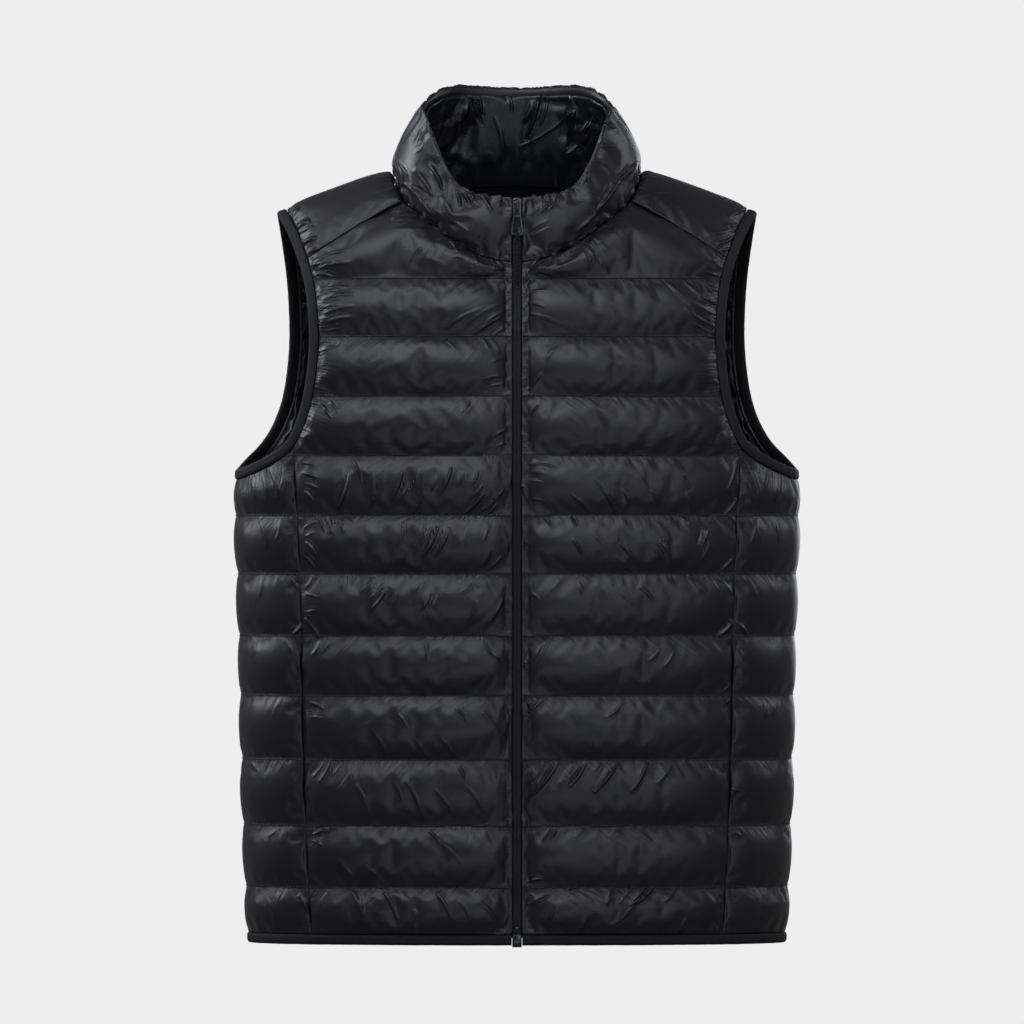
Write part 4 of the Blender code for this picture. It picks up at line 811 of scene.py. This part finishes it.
BACK_LINES = (*QUILT_LINES, BACK_TOP_LINE)
PADDED = (
    # node, outward, cuts, least, lines, pressure, spare, most it may swell in mm
    ("front_left", torso_outward, 4, 0.35, QUILT_LINES, 3.0, 0.012, 2.5),
    ("front_right", torso_outward, 4, 0.35, QUILT_LINES, 3.0, 0.012, 2.5),
    ("side_left", torso_outward, 4, 0.35, QUILT_LINES, 1.5, 0.010, 1.0),
    ("side_right", torso_outward, 4, 0.35, QUILT_LINES, 1.5, 0.010, 1.0),
    ("back", torso_outward, 3, 0.35, BACK_LINES, 3.0, 0.012, 2.5),
    ("yoke_left", torso_outward, 5, 0.3, (), 1.0, 0.006, 0.8),
    ("yoke_right", torso_outward, 5, 0.3, (), 1.0, 0.006, 0.8),
    ("collar", collar_outward, 4, 0.1, (), 3.0, 0.030, 3.0),
)


def start_padded(node, outward, cuts, least, lines, pressure, spare):
    """A padded panel ready for its cloth run: held at its seams and quilt lines."""
    made = copy_of(node, node.replace("_", "_padding_", 1) if "_" in node else node + "_padding")
    free = refine(made, outward, cuts, least)
    route = rim_route(made)
    if lines:
        free &= line_distance(points_of(made)[:, 2], lines) > 0.7 * MM
    round_off(made, free, 14)
    add_cloth(made, free, pressure, spare)
    return made, route


def near_kind(points, route, kinds, names):
    """Which points have one of these seams nearest to them."""
    tree = tree_of(route)
    return np.array([kinds[tree.find(point)[1]] in names for point in points])


def finish_padded(made, route, node, outward, lines, seed):
    """Gives a padded panel its puckers, folds and materials after the cloth run."""
    subdivide_smooth(made)
    points, normals = points_of(made), normals_of(made)
    names = ("rim", "zip") if node == "collar" else ("neck", "zip", "armhole", "hem")
    kinds = seam_kinds(route, names)
    lift, distance, pull = seam_puckers(points, route, kinds, seed)
    flows = {"pull": pull}
    if node == "collar":
        lift += 2.3 * MM * bell(distance, 7 * MM) * ~near_kind(points, route, kinds, ("rim", "zip"))
    if node.startswith("yoke"):
        lift += 0.9 * MM * bell(distance, 6 * MM) * near_kind(points, route, kinds, ("neck",))
    if node.startswith("front"):
        beside_zip = near_kind(points, route, kinds, ("zip",))
        crinkled = 0.7 + 0.6 * uneven(points[:, 2] / (2.6 * MM), seed + 70)
        welt = bell(distance - 2.3 * MM, 1.7 * MM) * crinkled
        stitched = bell(distance - 5.7 * MM, 1.5 * MM)
        lift += (0.55 * MM * welt - 0.75 * MM * stitched) * beside_zip
    if lines:
        lift += quilt_puckers(points, lines, seed + 500)
        flows["streak"], flows["tick"] = streaks_and_ticks(points, lines)
    for flow, values in flows.items():
        for part, numbers in values.items():
            store(made, flow + "_" + part, numbers)
    front, behind = (normals[:, 1] < 0.15), (normals[:, 1] >= 0.15)
    off, rise, fold_lift = fold_places(points, FOLDS[node][0], front)
    far_off, far_rise, far_lift = fold_places(points, FOLDS[node][1], behind)
    store(made, "fold_off", np.where(behind, far_off, off))
    store(made, "fold_rise", np.where(behind, far_rise, rise))
    outer = np.clip(dot(normals, outward(points)) * 3 - 0.6, 0, 1)
    inside = distance > 1.2 * MM
    set_points(made, points + normals * ((lift + (fold_lift + far_lift) * inside) * outer)[:, None])
    near = np.exp(-distance / (9 * MM))
    if lines:
        near = np.maximum(near, np.exp(-line_distance(points[:, 2], lines) / (7 * MM)))
    store(made, "pucker", 0.15 + 0.85 * near)
    made.data.materials.clear()
    made.data.materials.append(SHELL)
    made.data.materials.append(LINING)
    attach(made, "garment")
    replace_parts(made, node)
    return made, route, kinds


# ---------------------------------------------------------------- linings


LININGS = (
    # node, outward, cuts, lines, the most that a kept face looks outward, flat width and length
    ("back_lining", torso_outward, 2, BACK_LINES, 0.3, (0.60, 0.64)),
    ("collar_lining", collar_outward, 5, (), -0.3, (0.50, 0.070)),
)
LINING_THICKNESS = 0.35 * MM


def start_lining(node, outward, cuts, lines, most_facing):
    """The side of a lining that faces the body, as one layer of spare cloth held at its edges."""
    made = copy_of(node, node.replace("lining", "lining_cloth"))
    made.data.polygons.foreach_set("select", facing(made, outward) > most_facing)
    with editing(made):
        bpy.ops.mesh.select_mode(type="FACE")
        bpy.ops.mesh.delete(type="FACE")
        bpy.ops.mesh.select_all(action="SELECT")
        bpy.ops.mesh.subdivide(number_cuts=cuts)
        bpy.ops.mesh.select_all(action="DESELECT")
        bpy.ops.mesh.select_mode(type="VERT")
        bpy.ops.mesh.select_non_manifold()
    held = np.empty(len(made.data.vertices), bool)
    made.data.vertices.foreach_get("select", held)
    if lines:
        held |= line_distance(points_of(made)[:, 2], lines) < 1.2 * MM
    add_cloth(made, ~held, 1.2, 0.09, stiff=8.0, bend=0.08)
    return made


def tuck_under(made, by):
    """Carries the collar lining's lower edge down over the neck seam, as its facing does."""
    points = points_of(made)
    turn = np.arctan2(points[:, 0], NECK_MIDDLE - points[:, 1])
    count = 60
    bins = np.linspace(-math.pi, math.pi, count + 1)
    number = np.clip(np.digitize(turn, bins) - 1, 0, count - 1)
    lowest = np.array([points[number == n, 2].min() if (number == n).any() else 0.0 for n in range(count)])
    bottom = np.interp(turn, (bins[:-1] + bins[1:]) / 2, lowest)
    share = np.clip((points[:, 2] - bottom) / (12 * MM), 0, 1)
    points += collar_outward(points) * (2 * MM * (1 - share) ** 2)[:, None]
    points[:, 2] -= by * (1 - share) ** 2
    set_points(made, points)


def finish_lining(made, node, outward):
    """Gives a lining its thickness and folds after the cloth run."""
    if node == "collar_lining":
        tuck_under(made, 9 * MM)
    apply_modifier(made, "SOLIDIFY", thickness=LINING_THICKNESS, offset=0)
    subdivide_smooth(made)
    points, normals = points_of(made), normals_of(made)
    ahead = points[:, 1] < 0.02 if node == "collar_lining" else np.zeros(len(points), bool)
    rise, lift = np.zeros(len(points)), np.zeros(len(points))
    off = np.full(len(points), 9.0)
    inner = dot(normals, outward(points)) < 0
    for folds, side in zip(FOLDS[node], (~ahead, ahead)):
        found = fold_places(points, folds, side)
        off = np.where(side, found[0], off)
        rise += np.where(side & inner, found[1], 0)
        lift += np.where(side, found[2], 0)
    set_points(made, points - outward(points) * lift[:, None])
    store(made, "fold_off", off)
    store(made, "fold_rise", rise)
    store(made, "pucker", np.ones(len(points)))
    finish_piece(made, "garment", LINING)
    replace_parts(made, node)


# ---------------------------------------------------------------- the cloth run

padded_pieces = [start_padded(*row[:-1]) for row in PADDED]
lining_pieces = [start_lining(*row[:-1]) for row in LININGS]
settle([(made, row[-1] * MM, None) for (made, _), row in zip(padded_pieces, PADDED)]
       + [(made, 5 * MM, row[1]) for made, row in zip(lining_pieces, LININGS)])
panels = {}
for number, ((made, route), row) in enumerate(zip(padded_pieces, PADDED)):
    panels[row[0]] = finish_padded(made, route, row[0], row[1], row[4], 40 * number)
for made, row in zip(lining_pieces, LININGS):
    finish_lining(made, row[0], row[1])

# ---------------------------------------------------------------- bindings, tapes and small parts


def elastic(node, name, along_of, seed):
    """A binding: its CAD form made finer, with the shallow ribs that its elastic gathers."""
    made = copy_of(node, name)
    with editing(made):
        bpy.ops.mesh.select_all(action="SELECT")
        bpy.ops.mesh.subdivide(number_cuts=2)
    crease_sharp_edges(made.data, math.radians(72))
    subdivide_smooth(made)
    points, normals = points_of(made), normals_of(made)
    along = along_of(points)
    wave = uneven(along / (7 * MM), seed) + 0.5 * uneven(along / (3.1 * MM), seed + 1) - 0.75
    set_points(made, points + normals * (0.16 * MM * wave)[:, None])
    finish_piece(made, "garment", BINDING)
    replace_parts(made, node)


def round_armhole(points):
    """Distance round an armhole."""
    return np.arctan2(points[:, 2] + 0.14, points[:, 1] + np.abs(points[:, 0]) - 0.215) * ARMHOLE_RADIUS


def crisp_part(node, name, body, bevel, segments=2):
    """A hard zip part: its CAD form with its edges softly broken, and smooth faces."""
    made = copy_of(node, name)
    limit = dict(limit_method="ANGLE", angle_limit=math.radians(30))
    apply_modifier(made, "BEVEL", width=bevel * MM, segments=segments, **limit)
    bpy.ops.object.shade_smooth_by_angle(angle=math.radians(40))
    finish_piece(made, body, HARDWARE)
    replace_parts(made, node)
    return made


def sunk_face(made, way, inset, depth):
    """Sinks a shallow panel into the biggest face that looks one way."""
    area = [face.area if face.normal.dot(Vector(way)) > 0.9 else 0 for face in made.data.polygons]
    made.data.polygons.foreach_set("select", np.array(area) == max(area))
    with editing(made):
        bpy.ops.mesh.select_mode(type="FACE")
        bpy.ops.mesh.inset(thickness=inset * MM, depth=0)
        bpy.ops.mesh.inset(thickness=0.15 * MM, depth=-depth * MM)


def small_bar(sides, size, turned=False):
    """A small rounded bar round the origin, longest along X."""
    bpy.ops.mesh.primitive_uv_sphere_add(segments=sides, ring_count=4, radius=1)
    made = bpy.context.object
    with editing(made):
        if turned:
            bpy.ops.transform.rotate(value=math.pi / 2, orient_axis="Y", center_override=(0, 0, 0))
        bpy.ops.transform.resize(value=size, center_override=(0, 0, 0))
    return made


def repeated(name, shape, places, finish):
    """One small shape copied to many places, each a 3 x 3 frame and a position."""
    corners = points_of(shape)
    faces = [list(face.vertices) for face in shape.data.polygons]
    bpy.data.objects.remove(shape)
    count = len(corners)
    points = np.concatenate([corners @ np.asarray(frame_of).T + np.asarray(at) for frame_of, at in places])
    mesh = bpy.data.meshes.new(name)
    all_faces = [[i + n * count for i in face] for n in range(len(places)) for face in faces]
    mesh.from_pydata(points.tolist(), [], all_faces)
    mesh.shade_smooth()
    made = placed(name, mesh)
    finish_piece(made, "garment", finish)
    return made


elastic("hem_binding", "hem_binding_elastic", round_place, 5)
elastic("armhole_binding_left", "armhole_elastic_left", round_armhole, 15)
elastic("armhole_binding_right", "armhole_elastic_right", round_armhole, 25)
for side in ("left", "right"):
    for node in ("zip_tape_", "pocket_zip_"):
        NODES[node + side].data.materials.clear()
        NODES[node + side].data.materials.append(TAPE)


COIL_PITCH = 1.7 * MM
low, high = (Vector(corner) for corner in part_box("zip_coil"))
middle = (low + high) / 2
teeth = []
for number in range(int((high.z - low.z - 2 * MM) / COIL_PITCH)):
    shift = 0.45 * MM * (1 if number % 2 else -1)
    teeth.append((np.eye(3), (middle.x + shift, middle.y, low.z + 1 * MM + (number + 0.5) * COIL_PITCH)))
half_turn = small_bar(6, (2.1 * MM, 0.85 * MM, 0.62 * MM))
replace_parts(repeated("zip_coil_teeth", half_turn, teeth, TEETH), "zip_coil")
crisp_part("zip_slider", "zip_slider_body", "garment", 0.22)
sunk_face(crisp_part("zip_pull", "zip_pull_tab", "pull", 0.18), (0, -1, 0), 0.9, 0.35)
crisp_part("zip_bottom_stop", "zip_bottom_box", "garment", 0.5, 3)

# ---------------------------------------------------------------- stitches

STITCH_HALF_LENGTH = 1.15 * MM
STITCH_HALF_WIDTH = 0.42 * MM
QUILT_RAISE, QUILT_PITCH = 0.45 * MM, 3.3 * MM
TOP_RAISE, TOP_PITCH = 0.14 * MM, 3.0 * MM


def surface_of(made):
    """A piece's surface, to lay things on."""
    vertices = [vertex.co.copy() for vertex in made.data.vertices]
    return BVHTree.FromPolygons(vertices, [list(face.vertices) for face in made.data.polygons])


SURFACES = {node: surface_of(made) for node, (made, _, _) in panels.items()}


def evenly(points, pitch):
    """Places and directions at an even pitch along a route."""
    total = lengths_along(points)
    at = np.arange(pitch / 2, total[-1] - pitch / 3, pitch)
    found, ahead = (
        np.stack([np.interp(place, total, points[:, axis]) for axis in range(3)], axis=1)
        for place in (at, at + 1 * MM)
    )
    return found, unit(ahead - found)


def bar_frame(ahead, normal):
    along = Vector(ahead).normalized()
    up = (normal - along * normal.dot(along)).normalized()
    return np.array((along, up.cross(along), up)).T


QUILT_RAYS = 1600  # cast inwards from a ring round the body
QUILT_RING = (0.30, 0.17)
QUILT_REACH = 0.14


def quilt_stitches(height):
    """Stitches along one quilt line, laid in the groove of whichever panel shows there."""
    trees = [SURFACES["back"]] if height == BACK_TOP_LINE else list(SURFACES.values())
    runs, run, last = [], [], None
    for turn in np.linspace(-math.pi, math.pi, QUILT_RAYS):
        away = Vector((math.sin(turn), -0.5 * math.cos(turn), 0)).normalized()
        start = Vector((QUILT_RING[0] * math.sin(turn), -QUILT_RING[1] * math.cos(turn), height))
        hits = [tree.ray_cast(start, -away, QUILT_REACH) for tree in trees]
        hits = [hit for hit in hits if hit[0] is not None and hit[1].dot(away) > 0.2]
        best = min(hits, key=lambda hit: hit[3])[0] if hits else None
        if best is None or (last is not None and (best - last).length > 6 * MM):
            runs.append(run)
            run = []
        last = best
        if best is not None:
            run.append(best)
    runs.append(run)
    return [np.array([tuple(point) for point in run]) for run in runs if len(run) > 3]


def nearest_surface(point):
    found = [tree.find_nearest(point, 3 * MM) for tree in SURFACES.values()]
    found = [hit for hit in found if hit[0] is not None and (hit[0] - point).length < 3 * MM]
    return min(found, key=lambda hit: hit[3]) if found else None


def edge_runs(node, wanted):
    """The stretches of a panel's edge that are sewn to one thing."""
    _, route, kinds = panels[node]
    start = next((number for number, kind in enumerate(kinds) if kind != wanted), 0)
    order = [(start + number) % len(route) for number in range(len(route))]
    groups = groupby(order, lambda number: kinds[number] == wanted)
    runs = [route[list(group)] for sewn, group in groups if sewn]
    return [run for run in runs if len(run) > 3]


def inset_route(node, run, inset):
    """A panel's edge moved inwards over its own surface."""
    tree = SURFACES[node]
    result = []
    for point, along in zip(*evenly(run, 1.6 * MM)):
        point = Vector(point)
        hit = tree.find_nearest(point, 8 * MM)
        if hit[0] is None or (hit[0] - point).length > 2 * MM:
            continue
        inward = hit[1].cross(Vector(along)).normalized()
        tries = [tree.find_nearest(point + sign * inward * inset, 8 * MM)[0] for sign in (1, -1)]
        tries = [place for place in tries if place is not None and (place - point).length < 1.25 * inset]
        if tries:
            result.append(tuple(max(tries, key=lambda place: (place - point).length)))
    return np.array(result)


def lay_stitches(name, routes, raise_by, pitch):
    """Single stitches along these routes, as one piece."""
    places = []
    for route in routes:
        if len(route) < 3:
            continue
        for point, along in zip(*evenly(route, pitch)):
            hit = nearest_surface(Vector(point))
            if hit is not None:
                up = hit[1].normalized()
                places.append((bar_frame(along, up), tuple(hit[0] + up * raise_by)))
    stitch = small_bar(5, (STITCH_HALF_LENGTH, STITCH_HALF_WIDTH, STITCH_HALF_WIDTH), turned=True)
    repeated(name, stitch, places, THREAD)


FRONTS = ("front_left", "front_right")
YOKES = ("yoke_left", "yoke_right")
TOPSTITCHES = (
    # edge, how far in from it in mm, panels
    ("zip", 4.5, FRONTS),
    ("zip", 7.0, FRONTS),
    ("neck", 1.9, (*FRONTS, *YOKES, "back")),
    ("armhole", 1.6, (*FRONTS, "side_left", "side_right", *YOKES, "back")),
    ("rim", 2.6, ("collar",)),
    ("zip", 4.5, ("collar",)),
)
quilt_runs = [run for line in BACK_LINES for run in quilt_stitches(line)]
lay_stitches("quilt_stitches", quilt_runs, QUILT_RAISE, QUILT_PITCH)
top_runs = [
    inset_route(node, run, inset * MM)
    for edge, inset, nodes in TOPSTITCHES for node in nodes for run in edge_runs(node, edge)
]
lay_stitches("topstitches", top_runs, TOP_RAISE, TOP_PITCH)

# ---------------------------------------------------------------- floor, light and camera

STUDIO_WHITE = (0.855, 0.855, 0.858)
STUDIO_DIM = 0.15  # how much of the backdrop's light the cloth gets
FLOOR_HEIGHT = -1.45
LIGHT_TINT = (0.875, 0.895, 1.0)


def studio():
    """The white ground and backdrop, which the camera sees brighter than they light the vest."""
    paper = Nodes("studio_paper")
    white = (*STUDIO_WHITE, 1)
    paper.set(Roughness=0.9, Base_Color=white, Emission_Color=white, Emission_Strength=0.8)
    bpy.ops.mesh.primitive_plane_add(size=16, location=(0, 0, FLOOR_HEIGHT))
    floor = bpy.context.object
    floor.name = "studio_floor"
    floor.data.materials.append(paper.material)
    floor.visible_glossy = False
    floor.visible_diffuse = False
    world = bpy.data.worlds.new("studio")
    bpy.context.scene.world = world
    world.use_nodes = True
    tree = world.node_tree
    backdrop = tree.nodes["Background"]
    backdrop.inputs["Color"].default_value = white
    seen = tree.nodes.new("ShaderNodeLightPath").outputs["Is Camera Ray"]
    strength = tree.nodes.new("ShaderNodeMapRange")
    strength.inputs["To Min"].default_value = STUDIO_DIM
    strength.inputs["To Max"].default_value = 1.0
    tree.links.new(seen, strength.inputs["Value"])
    tree.links.new(strength.outputs["Result"], backdrop.inputs["Strength"])


def area_light(name, place, aim, size, watts, spread):
    data = bpy.data.lights.new(name, "AREA")
    data.shape = "RECTANGLE"
    data.size, data.size_y = size
    data.energy = watts
    data.color = LIGHT_TINT
    data.spread = math.radians(spread)
    light = placed(name, data)
    light.location = place
    light.rotation_euler = (Vector(aim) - Vector(place)).to_track_quat("-Z", "Y").to_euler()


def camera():
    """The photograph's view, from straight ahead."""
    data = bpy.data.cameras.new("photo_view")
    data.sensor_width = SENSOR
    data.lens = SENSOR * PHOTO_DISTANCE / PHOTO_WIDTH
    data.clip_end = 60
    made = placed("photo_view", data)
    made.location = (PHOTO_CENTRE[0], -PHOTO_DISTANCE, PHOTO_CENTRE[1])
    made.rotation_euler = (math.pi / 2, 0, 0)
    bpy.context.scene.camera = made


studio()
area_light("key_above", (-0.40, -1.15, 0.92), (0, -0.1, 0.02), (2.6, 1.0), 6.0, 80)
area_light("left_edge", (-2.0, 0.55, 1.0), (0, 0, -0.1), (0.9, 1.6), 15, 120)
area_light("right_edge", (2.2, 0.55, 0.9), (0, 0, -0.1), (0.7, 1.4), 5.5, 120)
area_light("fill_front", (1.4, -3.4, 0.6), (0, 0, -0.3), (1.4, 1.8), 6.0, 120)
area_light("key_behind", (0.4, 3.0, 0.1), (0, 0.1, -0.35), (2.4, 1.2), 8.0, 100)
area_light("fill_low", (0.0, -2.6, -1.2), (0, 0, -0.4), (2.6, 0.8), 3.0, 120)
camera()
bpy.context.scene.view_settings.view_transform = "Standard"
